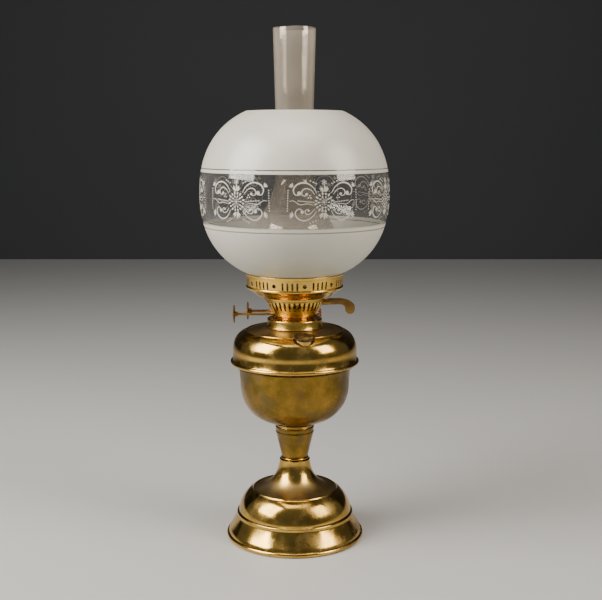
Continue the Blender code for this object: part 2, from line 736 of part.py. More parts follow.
# ---- Burner ----------------------------------------------------------------------------------
def make_burner_body():
    ring("burner_gasket", COLLAR_LEDGE_R, NIPPLE_R, GASKET_Z, GASKET_Z + BURNER_GASKET_H, MAT["leather"])
    ring("burner_nipple", NIPPLE_BORE_R, NIPPLE_R, NIPPLE_Z, CUP_Z - FIT, MAT["gold"])
    floor_top = CUP_Z - 2 * FIT
    floor = ring("burner_floor", 0, NIPPLE_BORE_R - FIT, floor_top - FLOOR_H, floor_top, MAT["gold"])
    cut(floor, tube_holes("floor_holes", floor_top - 2 * FLOOR_H, floor_top + FLOOR_H))

    rim_z = BASKET_TOP_Z - BASKET_BAND_H
    profile = [
        (BASKET_TOP_R, BASKET_TOP_Z),
        (BASKET_TOP_R, rim_z),
        (BASKET_TOP_R - BASKET_SHOULDER, rim_z - BASKET_SHOULDER),
        (CUP_TOP_R, CUP_Z + CUP_H),
        (CUP_BOTTOM_R, CUP_Z + BURNER_SHEET),
        (CUP_BOTTOM_R - EDGE, CUP_Z),
        (NIPPLE_BORE_R + FIT, CUP_Z),
    ]
    basket = turned("burner_basket", profile, MAT["gold"], wall=BURNER_SHEET, steps=SLOT_COUNT)
    basket.rotation_euler.z = math.pi / SLOT_COUNT
    slot_low = CUP_Z + SLOT_LIFT
    corners = (
        (CUP_BOTTOM_R, -SLOT_W / 2, slot_low),
        (BASKET_TOP_R + THROUGH, SLOT_W / 2, slot_low + SLOT_H),
    )
    slots = [(*corners, math.tau * k / SLOT_COUNT) for k in range(1, SLOT_COUNT)]
    cut(basket, joined_boxes("basket_slots", slots))
    notch_low = (CUP_TOP_R, -NOTCH_W / 2, PIVOT_Z - NOTCH_BELOW)
    notch_high = (BASKET_TOP_R + THROUGH, NOTCH_W / 2, PIVOT_Z + NOTCH_ABOVE)
    cut(basket, box("lever_notch", notch_low, notch_high))
    for side in (-1, 1):
        ends = ((-BASKET_TOP_R, side * SPINDLE_Y, SPINDLE_Z), (BASKET_TOP_R, side * SPINDLE_Y, SPINDLE_Z))
        cut(basket, rod(f"spindle_hole_{side}", SPINDLE_R + RUNNING, *ends, steps=12))

    low = CUP_Z + DIFFUSER_LIFT
    diffuser_r = basket_radius(DIFFUSER_LIFT) - BURNER_SHEET - RUNNING
    diffuser = ring("air_diffuser", 0, diffuser_r, low, low + DIFFUSER_H, MAT["gold"])
    cut(diffuser, tube_holes("diffuser_holes", low - DIFFUSER_H, low + 2 * DIFFUSER_H))
    turns = [math.tau * k / AIR_HOLES for k in range(AIR_HOLES)]
    centres = [(AIR_RING_R * math.cos(a), AIR_RING_R * math.sin(a)) for a in turns]
    clear = [(x, y) for x, y in centres if abs(y) > WICK_Y + TUBE_HALF_T + AIR_HOLE_R]
    places = [Matrix.Translation((x, y, low)) for x, y in clear]
    cut(diffuser, joined_rods("air_holes", places, AIR_HOLE_R, THROUGH, 6))


def tube_holes(name, low, high):
    """A cutter for the two wick tubes through a plate."""
    x, y = TUBE_HALF_W + FIT, TUBE_HALF_T + FIT
    return joined_boxes(
        name, [((-x, side * WICK_Y - y, low), (x, side * WICK_Y + y, high), 0.0) for side in (-1, 1)]
    )


def box_tube(name, half_w, half_t, wall, middle_y, low, high, finish):
    """A rectangular tube, open at both ends."""
    tube = box(name, (-half_w, middle_y - half_t, low), (half_w, middle_y + half_t, high), finish)
    inner = box(
        name + "_bore",
        (wall - half_w, middle_y - half_t + wall, low - 0.01),
        (half_w - wall, middle_y + half_t - wall, high + 0.01),
    )
    return cut(tube, inner)


def make_wicks():
    for name, side in (("front", -1), ("rear", 1)):
        y = side * WICK_Y
        low = CUP_Z - 2 * FIT - FLOOR_H - TUBE_BELOW
        tube = box_tube(
            f"wick_tube_{name}", TUBE_HALF_W, TUBE_HALF_T, TUBE_WALL, y, low, TUBE_TOP_Z, MAT["gold"]
        )
        reach = math.sqrt(WHEEL_R**2 - (SPINDLE_Y - WICK_Y - TUBE_HALF_T) ** 2) + 2 * RUNNING
        windows = []
        for x in (-WHEEL_X, WHEEL_X):
            near = side * (WICK_Y + TUBE_HALF_T - 1.5 * TUBE_WALL)
            far = side * (WICK_Y + TUBE_HALF_T + TUBE_WALL)
            half = WHEEL_T / 2 + RUNNING
            low_corner = (x - half, min(near, far), SPINDLE_Z - reach)
            windows.append((low_corner, (x + half, max(near, far), SPINDLE_Z + reach), 0.0))
        cut(tube, joined_boxes(f"windows_{name}", windows))
        box(
            f"wick_{name}",
            (-WICK_HALF_W, y - WICK_T / 2, WICK_BOTTOM_Z),
            (WICK_HALF_W, y + WICK_T / 2, TUBE_TOP_Z + WICK_SHOWS),
            MAT["cotton"],
        )


def toothed_wheel(name, x, y, finish):
    """A spur wheel of the winder, turning about X."""
    points = []
    for k in range(2 * WHEEL_TEETH):
        turn = math.tau * (k + 0.5) / (2 * WHEEL_TEETH)
        radius = WHEEL_R if k % 2 else WHEEL_R - WHEEL_TOOTH
        points.append((radius * math.cos(turn), radius * math.sin(turn)))
    wheel = outline_plate(name, points, WHEEL_T, finish, bores=[((0.0, 0.0), SPINDLE_R + FIT)])
    wheel.matrix_world = Matrix.Translation((x, y, SPINDLE_Z)) @ Matrix.Rotation(math.pi / 2, 4, "Z")
    return wheel


def make_winders():
    for name, side, knob_x in (("front", -1, FRONT_KNOB_X), ("rear", 1, REAR_KNOB_X)):
        y = side * SPINDLE_Y
        rod(
            f"winder_spindle_{name}",
            SPINDLE_R,
            (knob_x + KNOB_T / 2 + FIT, y, SPINDLE_Z),
            (SPINDLE_END_X, y, SPINDLE_Z),
            MAT["old_brass"],
            12,
        )
        for number, x in ((1, -WHEEL_X), (2, WHEEL_X)):
            toothed_wheel(f"winder_wheel_{name}_{number}", x, y, MAT["old_brass"])
        profile = [
            (0.0, KNOB_T / 2),
            (KNOB_R - EDGE, KNOB_T / 2),
            (KNOB_R, 0.0),
            (KNOB_R - EDGE, -KNOB_T / 2),
            (HUB_R, -KNOB_T / 2),
            (HUB_R - EDGE, -KNOB_T / 2 - HUB_L),
            (SPINDLE_R + FIT, -KNOB_T / 2 - HUB_L),
            (SPINDLE_R + FIT, -KNOB_T / 2),
            (0.0, -KNOB_T / 2),
        ]
        knob = turned_solid(f"winder_knob_{name}", profile, MAT["old_brass"], 28)
        knob.matrix_world = Matrix.Translation((knob_x, y, SPINDLE_Z)) @ Matrix.Rotation(-math.pi / 2, 4, "Y")
        stop_x = SPINDLE_END_X + FIT
        stop_ends = ((stop_x, y, SPINDLE_Z), (stop_x + STOP_L, y, SPINDLE_Z))
        rod(f"winder_stop_{name}", STOP_R, *stop_ends, MAT["copper"], 12)


def make_extinguisher():
    for name, side in (("front", -1), ("rear", 1)):
        box_tube(
            f"snuffer_{name}",
            SNUFFER_HALF_W,
            SNUFFER_HALF_T,
            SNUFFER_WALL,
            side * WICK_Y,
            SNUFFER_Z,
            SNUFFER_TOP_Z,
            MAT["gold"],
        )
    near = SNUFFER_HALF_W + FIT
    reach_y = WICK_Y + SNUFFER_HALF_T
    far_corner = (near + BRIDGE_L, reach_y, SNUFFER_Z + BRIDGE_T)
    box("snuffer_bridge", (near, -reach_y, SNUFFER_Z), far_corner, MAT["gold"])

    tip_z = SNUFFER_Z - FIT
    lobe = arc((PIVOT_X + LOBE_X, PIVOT_Z - LOBE_DROP), LOBE_R, 190, 390, 6)
    outline = [
        (LEVER_TIP_X, tip_z - LEVER_TIP_H),
        (PIVOT_X - LEVER_HALF_H, PIVOT_Z - LEVER_HALF_H),
        (PIVOT_X + STRIP_START, PIVOT_Z - STRIP_BOTTOM),
        (PIVOT_X + STRIP_END, PIVOT_Z - STRIP_BOTTOM),
        (PIVOT_X + BEND_X, PIVOT_Z - STRIP_BOTTOM - BEND_DROP / 2),
        *lobe,
        (PIVOT_X + LOBE_X + LOBE_R / 2, PIVOT_Z - BEND_DROP / 2),
        (PIVOT_X + BEND_X + LEVER_HALF_H, PIVOT_Z + EDGE),
        (PIVOT_X + STRIP_END, PIVOT_Z + STRIP_TOP),
        (PIVOT_X + STRIP_START, PIVOT_Z + STRIP_TOP),
        (PIVOT_X + STRIP_START - LEVER_HALF_H, PIVOT_Z + LEVER_HALF_H),
        (PIVOT_X, PIVOT_Z + LEVER_HALF_H),
        (LEVER_TIP_X + LEVER_TIP_H, tip_z),
        (LEVER_TIP_X, tip_z),
    ]
    bores = [((PIVOT_X, PIVOT_Z), PIVOT_R + RUNNING)]
    outline_plate("extinguisher_lever", outline, LEVER_T, MAT["old_brass"], bores)
    ear_y = LEVER_T / 2 + EAR_GAP
    post_x = PIVOT_X - PIVOT_R - FIT - EDGE - EAR_L
    low = CUP_Z + DIFFUSER_LIFT + DIFFUSER_H + FIT
    for name, side in (("front", -1), ("rear", 1)):
        low_y, high_y = sorted((side * ear_y, side * (ear_y + EAR_T)))
        bracket = box(
            f"lever_bracket_{name}",
            (post_x, low_y, low),
            (post_x + EAR_L, high_y, PIVOT_Z + EAR_HALF_H),
            MAT["gold"],
        )
        arm_low = (post_x + EAR_L / 2, low_y, PIVOT_Z - EAR_HALF_H)
        arm_high = (PIVOT_X + EAR_ARM, high_y, PIVOT_Z + EAR_HALF_H)
        cut(bracket, box(f"bracket_arm_{name}", arm_low, arm_high), "UNION")
        hole_ends = ((PIVOT_X, side * (ear_y + THROUGH), PIVOT_Z), (PIVOT_X, 0, PIVOT_Z))
        cut(bracket, rod(f"bracket_hole_{name}", PIVOT_R + FIT, *hole_ends, steps=12))
    pin_y = ear_y + EAR_T + PIN_SPARE
    rod("lever_pin", PIVOT_R, (PIVOT_X, -pin_y, PIVOT_Z), (PIVOT_X, pin_y, PIVOT_Z), MAT["steel"], 12)


# ---- Gallery ---------------------------------------------------------------------------------
def make_gallery():
    top = GALLERY_BOTTOM_Z + GALLERY_H
    bead_z = GALLERY_BOTTOM_Z + GALLERY_BEAD_H
    profile = [
        (GALLERY_TOP_R - EDGE, top),
        (GALLERY_TOP_R, top - EDGE),
        (GALLERY_TOP_R - GALLERY_BEAD, top - GALLERY_BEAD_H),
        (GALLERY_FLOOR_R, bead_z),
        (GALLERY_FLOOR_R, GALLERY_BOTTOM_Z),
        (GALLERY_FLOOR_R - GALLERY_LEDGE, GALLERY_BOTTOM_Z - GALLERY_LEDGE_DROP),
        (SEAT_FLANGE_R + FIT, GALLERY_FLOOR_Z),
        (SKIRT_R, GALLERY_FLOOR_Z),
        (SKIRT_R, GALLERY_FLOOR_Z - GALLERY_SKIRT_H),
    ]
    gallery = turned("gallery", profile, MAT["brass"], wall=BURNER_SHEET)
    period = math.tau / HOLE_GROUPS
    spacing = period / (SLOTS_IN_GROUP + 2.2)
    low = bead_z + WALL_SLOT_LIFT
    corners = (
        (GALLERY_FLOOR_R - THROUGH, -WALL_SLOT_W / 2, low),
        (GALLERY_TOP_R + THROUGH, WALL_SLOT_W / 2, low + WALL_SLOT_H),
    )
    slots, holes = [], []
    for group in range(HOLE_GROUPS):
        first = HOLE_TURN + group * period
        middle = Matrix.Translation((GALLERY_FLOOR_R, 0, low + WALL_SLOT_H / 2))
        lying = middle @ Matrix.Rotation(math.pi / 2, 4, "Y")
        holes.append(Matrix.Rotation(first, 4, "Z") @ lying)
        for k in range(SLOTS_IN_GROUP):
            slots.append((*corners, first + period / 2 + (k - (SLOTS_IN_GROUP - 1) / 2) * spacing))
    cut(gallery, joined_boxes("wall_slots", slots))
    cut(gallery, joined_rods("wall_holes", holes, HOLE_R, 2 * THROUGH, 6))
    corners = (
        (FLOOR_SLOT_IN, -FLOOR_SLOT_W / 2, GALLERY_FLOOR_Z - THROUGH),
        (FLOOR_SLOT_OUT, FLOOR_SLOT_W / 2, GALLERY_BOTTOM_Z + THROUGH),
    )
    turns = [math.tau * (k + 0.5) / FLOOR_SLOTS for k in range(FLOOR_SLOTS)]
    cut(gallery, joined_boxes("floor_slots", [(*corners, turn) for turn in turns]))

    seat = [
        (SEAT_WALL_R, SEAT_WALL_Z + SEAT_WALL_H),
        (SEAT_WALL_R, SEAT_WALL_Z + 2 * BURNER_SHEET),
        (SEAT_FLANGE_R, SEAT_WALL_Z + BURNER_SHEET),
        (SEAT_FLANGE_R, SEAT_WALL_Z),
        (SEAT_WALL_R - BURNER_SHEET, SEAT_WALL_Z),
        (SEAT_WALL_R - BURNER_SHEET, SEAT_WALL_Z + SEAT_WALL_H),
    ]
    turned("chimney_seat", seat, MAT["brass"])
    plate_r = SEAT_WALL_R - BURNER_SHEET - FIT
    ring("seat_plate", SEAT_PLATE_BORE_R, plate_r, SEAT_PLATE_Z, SEAT_PLATE_Z + SEAT_PLATE_H, MAT["brass"])


def make_prongs():
    foot_r = SEAT_WALL_R + FIT
    grip_r = CHIMNEY_BASE_R + FIT
    low = SEAT_WALL_Z + 2 * BURNER_SHEET + FIT
    bend = SEAT_WALL_Z + SEAT_WALL_H + 2 * FIT
    side = [
        (foot_r, low),
        (foot_r, bend),
        (grip_r, bend + PRONG_REACH),
        (grip_r + PRONG_FLARE, bend + PRONG_REACH + PRONG_TIP),
    ]
    outline = side + [(x + PRONG_T, z) for x, z in reversed(side)]
    for number in range(PRONG_COUNT):
        prong = outline_plate(f"chimney_prong_{number + 1}", outline, PRONG_W, MAT["brass"])
        prong.rotation_euler.z = math.tau * (number + 0.5) / PRONG_COUNT


def make_flame_dome():
    low = SEAT_PLATE_Z + SEAT_PLATE_H + FIT
    centre = (0.0, low + FLAME_DOME_LIFT)
    inner_r = FLAME_DOME_R - BURNER_SHEET
    crown = super_arc(centre, FLAME_DOME_R, FLAME_DOME_H, 90, 0, 4)
    hollow = super_arc(centre, inner_r, FLAME_DOME_H - BURNER_SHEET, 0, 90, 4)
    crown[0] = (0.0, crown[0][1])
    hollow[-1] = (0.0, hollow[-1][1])
    flange = [
        (FLAME_DOME_R, low + BURNER_SHEET),
        (FLAME_FLANGE_R, low + BURNER_SHEET),
        (FLAME_FLANGE_R, low),
        (inner_r, low),
    ]
    dome = turned_solid("flame_dome", crown + flange + hollow, MAT["brass"], ROUND_STEPS)
    x = SNUFFER_HALF_W + FLAME_SLOT_ROOM
    y = SNUFFER_HALF_T + FLAME_SLOT_ROOM
    base, top = low + FLAME_SLOT_LIFT, low + FLAME_DOME_LIFT + FLAME_DOME_H + THROUGH
    slots = [((-x, side * WICK_Y - y, base), (x, side * WICK_Y + y, top), 0.0) for side in (-1, 1)]
    cut(dome, joined_boxes("flame_slots", slots))


# ---- Glass -----------------------------------------------------------------------------------
def chimney_radius(height):
    """Outer radius of the chimney at a height over its foot."""
    lift = height - BULGE_LIFT
    spread = BULGE_UPPER if lift > 0 else BULGE_LOWER
    swell = BULGE_SWELL * math.exp(-((abs(lift) / spread) ** BULGE_POWER))
    past = max(0.0, height - CHIMNEY_NECK_LIFT) / (CHIMNEY_H - CHIMNEY_NECK_LIFT)
    return CHIMNEY_NECK_R + swell + CHIMNEY_FLARE * past


def make_chimney():
    bulge = [CHIMNEY_BASE_H + (BULGE_LIFT - CHIMNEY_BASE_H) * k / 2 for k in range(3)]
    shoulder = [BULGE_LIFT + BULGE_UPPER * k / 2 for k in range(1, 4)]
    neck = [CHIMNEY_NECK_LIFT, CHIMNEY_H]
    heights = sorted(bulge + shoulder + neck, reverse=True)
    profile = [(chimney_radius(h), CHIMNEY_Z + h) for h in heights[:-1]]
    profile += [(CHIMNEY_BASE_R, CHIMNEY_Z + CHIMNEY_BASE_H), (CHIMNEY_BASE_R, CHIMNEY_Z)]
    turned("chimney", profile, MAT["smoked"], wall=CHIMNEY_WALL, steps=32)


def globe_angle(radius):
    """Angle, in degrees, at which the globe's squarish round has this radius."""
    return math.degrees(math.acos((radius / GLOBE_R) ** (SUPER / 2)))


def make_globe():
    centre = (0.0, GLOBE_CENTRE_Z)
    upper = super_arc(centre, GLOBE_R, GLOBE_UPPER_H, globe_angle(GLOBE_TOP_R), 0, 4)
    lower = super_arc(centre, GLOBE_R, GLOBE_LOWER_H, 0, -globe_angle(FITTER_R + FITTER_ROLL), 5)
    body = upper + lower[1:]
    profile = body + [(FITTER_R, GLOBE_BOTTOM_Z + FITTER_H), (FITTER_R, GLOBE_BOTTOM_Z)]
    turned("globe", profile, MAT["frosted"], wall=GLOBE_WALL)


clear_scene()
LAMP = collection("oil_lamp")
CUTTERS = collection("cutters")
MAT = {
    "brass": material("polished_brass", BRASS, 0.16, 1.0),
    "gold": material("gold_brass", GOLD_BRASS, 0.28, 1.0),
    "old_brass": material("old_brass", OLD_BRASS, 0.38, 1.0),
    "copper": material("copper", (0.55, 0.22, 0.12, 1.0), 0.35, 1.0),
    "tarnish": material("tarnished_brass", TARNISH, 0.55, 0.8),
    "iron": material("black_iron", IRON, 0.75, 0.3),
    "steel": material("steel", STEEL, 0.45, 1.0),
    "leather": material("leather", LEATHER, 0.80),
    "cotton": material("cotton", COTTON, 0.90),
    "smoked": material("smoked_glass", SMOKED, 0.05),
    "frosted": material("frosted_glass", FROSTED, 0.45),
}
make_foot()
make_ballast()
make_stem()
make_tie_rod()
make_font()
make_collar()
make_filler()
make_burner_body()
make_wicks()
make_winders()
make_extinguisher()
make_gallery()
make_prongs()
make_flame_dome()
make_chimney()
make_globe()
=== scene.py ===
"""Looks of a brass duplex oil lamp: turned brass, pierced burner and gallery, clear and frosted glass.

Each piece is built round the fixed frame, in metres, and rides on the frame's body that carries it.
"""

import math

import bmesh
import bpy
from bpy.props import FloatProperty, FloatVectorProperty, IntProperty, PointerProperty
from mathutils import Matrix, Vector


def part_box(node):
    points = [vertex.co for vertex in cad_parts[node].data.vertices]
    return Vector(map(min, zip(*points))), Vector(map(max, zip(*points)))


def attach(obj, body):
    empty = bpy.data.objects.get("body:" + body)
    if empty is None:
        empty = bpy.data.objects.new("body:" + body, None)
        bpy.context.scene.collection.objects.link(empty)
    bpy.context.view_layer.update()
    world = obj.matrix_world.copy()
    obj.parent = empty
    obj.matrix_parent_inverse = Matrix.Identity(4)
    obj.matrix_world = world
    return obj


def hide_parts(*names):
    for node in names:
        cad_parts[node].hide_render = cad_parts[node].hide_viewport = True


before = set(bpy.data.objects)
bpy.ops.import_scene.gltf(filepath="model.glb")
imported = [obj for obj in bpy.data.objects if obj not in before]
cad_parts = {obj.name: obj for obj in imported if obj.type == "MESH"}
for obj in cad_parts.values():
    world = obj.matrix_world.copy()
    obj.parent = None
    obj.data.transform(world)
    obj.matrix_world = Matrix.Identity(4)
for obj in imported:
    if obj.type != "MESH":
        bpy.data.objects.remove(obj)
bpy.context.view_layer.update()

bl_info = {
    "name": "Duplex Oil Lamp",
    "version": (1, 0, 0),
    "blender": (4, 5, 0),
    "location": "3D View > Sidebar > Oil Lamp",
    "description": "Builds the brass, glass and wicks of a duplex oil lamp round its frame",
    "category": "Add Mesh",
}

MM = 0.001
FINE_STEPS = 192  # sides of large turned pieces
SMALL_STEPS = 48  # sides of small turned pieces
SHEET = 0.8 * MM
THIN_SHEET = 0.7 * MM
SHARP = math.radians(38)  # edges bent more than this stay crisp
FILLER_HOLE = 18.2 * MM  # width of the hole in the font's top
SEAM = 0.01 * MM  # points closer than this are one
SQUARENESS = 2.3  # power of the squarish rounds of bowl, dome and globe
GREY_BROWN = (0.17, 0.125, 0.07)  # grey-brown of stains and of the dull flats


# ---- Profiles --------------------------------------------------------------------------------
def arc(centre, radius, start, end, steps=8):
    """Points of a round arc, in degrees, as (radius, height)."""
    return oval(centre, radius, radius, start, end, steps, 2.0)


def oval(centre, semi_r, semi_z, start, end, steps, power=SQUARENESS):
    """Points of an oval arc whose corners grow squarer as the power rises."""
    points = []
    for k in range(steps + 1):
        turn = math.radians(start + (end - start) * k / steps)
        c, s = math.cos(turn), math.sin(turn)
        points.append(
            (
                centre[0] + math.copysign(semi_r * abs(c) ** (2 / power), c),
                centre[1] + math.copysign(semi_z * abs(s) ** (2 / power), s),
            )
        )
    return points


def bow(start, control, end, steps=10):
    """Points of one smooth bend from start to end, drawn towards the control point."""
    points = []
    for k in range(steps + 1):
        t = k / steps
        points.append(
            tuple((1 - t) ** 2 * a + 2 * t * (1 - t) * b + t * t * c for a, b, c in zip(start, control, end))
        )
    return points


def no_repeats(profile):
    kept = [profile[0]]
    for point in profile[1:]:
        if math.dist(point, kept[-1]) > 0.02 * MM:
            kept.append(point)
    return kept


# ---- Meshes ----------------------------------------------------------------------------------
def piece(name, vertices, faces, finish):
    mesh = bpy.data.meshes.new(name)
    mesh.from_pydata(vertices, [], faces)
    mesh.update()
    made = bpy.data.objects.new(name, mesh)
    bpy.context.scene.collection.objects.link(made)
    mesh.materials.append(finish)
    return made


def softened(made, angle=SHARP):
    """Smooth shading that keeps edges sharper than the angle."""
    made.data.polygons.foreach_set("use_smooth", [True] * len(made.data.polygons))
    made.data.set_sharp_from_angle(angle=angle)
    return made


def settled(made):
    """The object with its modifiers worked into a plain mesh."""
    bpy.context.view_layer.update()
    depsgraph = bpy.context.evaluated_depsgraph_get()
    mesh = bpy.data.meshes.new_from_object(made.evaluated_get(depsgraph))
    mesh.name = made.name
    made.modifiers.clear()
    made.data = mesh
    return made


def turned(name, profile, finish, steps=FINE_STEPS, wall=0.0, closed=True):
    """Turns a profile round the lamp's axis. It runs out and down the outside, and back inside."""
    profile = no_repeats(profile)
    vertices, rows = [], []
    for radius, height in profile:
        if radius < 0.001 * MM:
            rows.append([len(vertices)] * steps)
            vertices.append((0.0, 0.0, height))
            continue
        rows.append(list(range(len(vertices), len(vertices) + steps)))
        for k in range(steps):
            turn = math.tau * k / steps
            vertices.append((radius * math.cos(turn), radius * math.sin(turn), height))
    pairs = list(zip(rows, rows[1:]))
    if closed and profile[0][0] > 0.001 * MM:
        pairs.append((rows[-1], rows[0]))
    faces = []
    for upper, lower in pairs:
        for k in range(steps):
            after = (k + 1) % steps
            corners = (upper[k], lower[k], lower[after], upper[after])
            face = tuple(dict.fromkeys(corners))
            if len(face) > 2:
                faces.append(face)
    made = piece(name, vertices, faces, finish)
    if wall:
        shell = made.modifiers.new("wall", "SOLIDIFY")
        shell.thickness = wall
        shell.offset = -1.0
        shell.use_even_offset = True
        settled(made)
    return softened(made)


def spun_sheet(name, profile, finish, wall=SHEET, steps=FINE_STEPS):
    """A spun sheet-metal shell: an open profile with a wall inside it."""
    return turned(name, profile, finish, steps, wall, closed=False)


def placed(made, matrix):
    """Moves the mesh itself, so that the object stays at the origin."""
    made.data.transform(matrix)
    if matrix.determinant() < 0:
        made.data.flip_normals()
    made.data.update()
    return made


def joined(name, parts):
    """Several closed bodies of one piece, as one mesh."""
    mesh = bmesh.new()
    for part in parts:
        mesh.from_mesh(part.data)
    finish = parts[0].data.materials[0]
    for part in parts:
        bpy.data.objects.remove(part)
    data = bpy.data.meshes.new(name)
    mesh.to_mesh(data)
    mesh.free()
    made = bpy.data.objects.new(name, data)
    bpy.context.scene.collection.objects.link(made)
    data.materials.append(finish)
    return softened(made)


def fitted(made, body, slot, *nodes):
    """The piece rides on its body and stands for its nodes; the slot is not used."""
    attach(made, body)
    if nodes:
        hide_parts(*nodes)
    return made


# ---- Geometry Nodes --------------------------------------------------------------------------
class Amount:
    """A number in a node tree. Sums of amounts make the tree's math nodes."""

    def __init__(self, tree, socket):
        self.tree = tree
        self.socket = socket

    def worked(self, operation, *others):
        node = self.tree.nodes.new("ShaderNodeMath")
        node.operation = operation
        for slot, value in zip(node.inputs, (self, *others)):
            if isinstance(value, Amount):
                self.tree.links.new(value.socket, slot)
            else:
                slot.default_value = value
        return Amount(self.tree, node.outputs[0])


ARITHMETIC = {
    "__add__": "ADD",
    "__sub__": "SUBTRACT",
    "__mul__": "MULTIPLY",
    "__truediv__": "DIVIDE",
    "__pow__": "POWER",
    "size": "ABSOLUTE",
    "sign": "SIGN",
    "floor": "FLOOR",
    "rest": "FLOORED_MODULO",
    "larger": "MAXIMUM",
    "above": "GREATER_THAN",
    "sine": "SINE",
    "cosine": "COSINE",
    "power_of_e": "EXPONENT",
}
for word, operation in ARITHMETIC.items():
    setattr(Amount, word, lambda self, *others, kind=operation: self.worked(kind, *others))


class Tree:
    """A Geometry Nodes tree with named inputs, that ends in Realize Instances and Set Material."""

    def __init__(self, name, sizes, counts=()):
        self.tree = bpy.data.node_groups.new(name, "GeometryNodeTree")
        face = self.tree.interface
        face.new_socket("Geometry", in_out="INPUT", socket_type="NodeSocketGeometry")
        face.new_socket("Geometry", in_out="OUTPUT", socket_type="NodeSocketGeometry")
        self.keys = {}
        kinds = {**dict.fromkeys(sizes, "Float"), **dict.fromkeys(counts, "Int"), "Finish": "Material"}
        for label, kind in kinds.items():
            socket = face.new_socket(label, in_out="INPUT", socket_type=f"NodeSocket{kind}")
            self.keys[label] = socket.identifier
        self.start = self.tree.nodes.new("NodeGroupInput")
        self.end = self.tree.nodes.new("NodeGroupOutput")

    def node(self, kind, inputs=None, **settings):
        made = self.tree.nodes.new(kind)
        for key, value in settings.items():
            setattr(made, key, value)
        for key, value in (inputs or {}).items():
            self.feed(made.inputs[key], value)
        return made

    def feed(self, slot, value):
        if isinstance(value, Amount):
            value = value.socket
        if isinstance(value, bpy.types.NodeSocket):
            self.tree.links.new(value, slot)
        else:
            slot.default_value = value

    def given(self, label):
        return Amount(self.tree, self.start.outputs[label])

    def amount(self, kind, output):
        return Amount(self.tree, self.node(kind).outputs[output])

    def place(self):
        """The three coordinates of the point that is worked on."""
        position = self.node("GeometryNodeInputPosition").outputs[0]
        split = self.node("ShaderNodeSeparateXYZ", {0: position})
        return [Amount(self.tree, split.outputs[k]) for k in range(3)]

    def vector(self, x=0.0, y=0.0, z=0.0):
        return self.node("ShaderNodeCombineXYZ", {0: x, 1: y, 2: z}).outputs[0]

    def moved(self, place):
        """The incoming mesh with each point moved to its place."""
        inputs = {"Geometry": self.start.outputs["Geometry"], "Position": place}
        return self.node("GeometryNodeSetPosition", inputs).outputs[0]

    def closed(self, geometry):
        """The mesh with its seam sewn up."""
        inputs = {"Geometry": geometry, "Distance": SEAM}
        return self.node("GeometryNodeMergeByDistance", inputs).outputs[0]

    def spread_round(self, instance, count, turn):
        """Copies of an instance on the axis, each turned by its own angle."""
        line = {"Count": count, "Offset": (0.0, 0.0, 0.0)}
        points = self.node("GeometryNodeMeshLine", line).outputs[0]
        inputs = {"Points": points, "Instance": instance, "Rotation": self.vector(z=turn)}
        return self.node("GeometryNodeInstanceOnPoints", inputs).outputs[0]

    def finished(self, geometry, first_finish_only=False):
        whole = self.node("GeometryNodeRealizeInstances", {0: geometry}).outputs[0]
        inputs = {"Geometry": whole, "Material": self.start.outputs["Finish"]}
        if first_finish_only:
            index = self.amount("GeometryNodeInputMaterialIndex", 0)
            inputs["Selection"] = index.worked("LESS_THAN", 0.5)
        whole = self.node("GeometryNodeSetMaterial", inputs).outputs[0]
        self.tree.links.new(whole, self.end.inputs[0])
        return self

    def worked_on(self, made, finish, **sizes):
        """Runs the tree on the piece with these sizes, and leaves a plain mesh."""
        step = made.modifiers.new(self.tree.name, "NODES")
        step.node_group = self.tree
        for label, value in sizes.items():
            step[self.keys[label.replace("_", " ")]] = value
        step[self.keys["Finish"]] = finish
        return settled(made)


def piercing_tree(upright):
    """Cuts round-ended openings through a turned piece, in groups spaced round its axis."""
    sizes = ("First Turn", "Turn In Group", "Radius", "Height", "Width", "Length", "Depth")
    tree = Tree("pierced_wall" if upright else "pierced_floor", sizes, ("Groups", "In Group"))
    width = tree.given("Width")
    rod = {"Vertices": 16, "Radius": width / 2.0, "Depth": tree.given("Depth")}
    punch = tree.node("GeometryNodeMeshCylinder", rod).outputs["Mesh"]
    if upright:
        lying = {"Geometry": punch, "Rotation": (0.0, math.pi / 2, 0.0)}
        punch = tree.node("GeometryNodeTransform", lying).outputs[0]
    x, _, z = tree.place()
    run = (tree.given("Length") - width) / 2.0
    longer = tree.vector(z=z.sign() * run) if upright else tree.vector(x=x.sign() * run)
    punch = tree.node("GeometryNodeSetPosition", {"Geometry": punch, "Offset": longer}).outputs[0]
    out = tree.vector(x=tree.given("Radius"), z=tree.given("Height"))
    punch = tree.node("GeometryNodeTransform", {"Geometry": punch, "Translation": out}).outputs[0]
    in_group = tree.given("In Group")
    count = tree.given("Groups") * in_group
    index = tree.amount("GeometryNodeInputIndex", 0)
    group = (index / in_group).floor()
    turn = tree.given("First Turn") + group * (tree.given("Groups") ** -1.0) * math.tau
    turn = turn + index.rest(in_group) * tree.given("Turn In Group")
    punches = tree.spread_round(punch, count, turn)
    punches = tree.node("GeometryNodeRealizeInstances", {0: punches}).outputs[0]
    cut = tree.node("GeometryNodeMeshBoolean", operation="DIFFERENCE")
    tree.tree.links.new(tree.start.outputs["Geometry"], cut.inputs["Mesh 1"])
    tree.tree.links.new(punches, cut.inputs["Mesh 2"])
    return tree.finished(cut.outputs["Mesh"])


def pierced(made, upright, **sizes):
    """The piece with openings cut through it; what isn't given makes one opening on the axis."""
    given = {"Groups": 1, "In_Group": 1, "First_Turn": 0.0, "Turn_In_Group": 0.0}
    given.update({"Radius": 0.0, "Height": 0.0, **sizes})
    return piercing_tree(upright).worked_on(made, made.data.materials[0], **given)


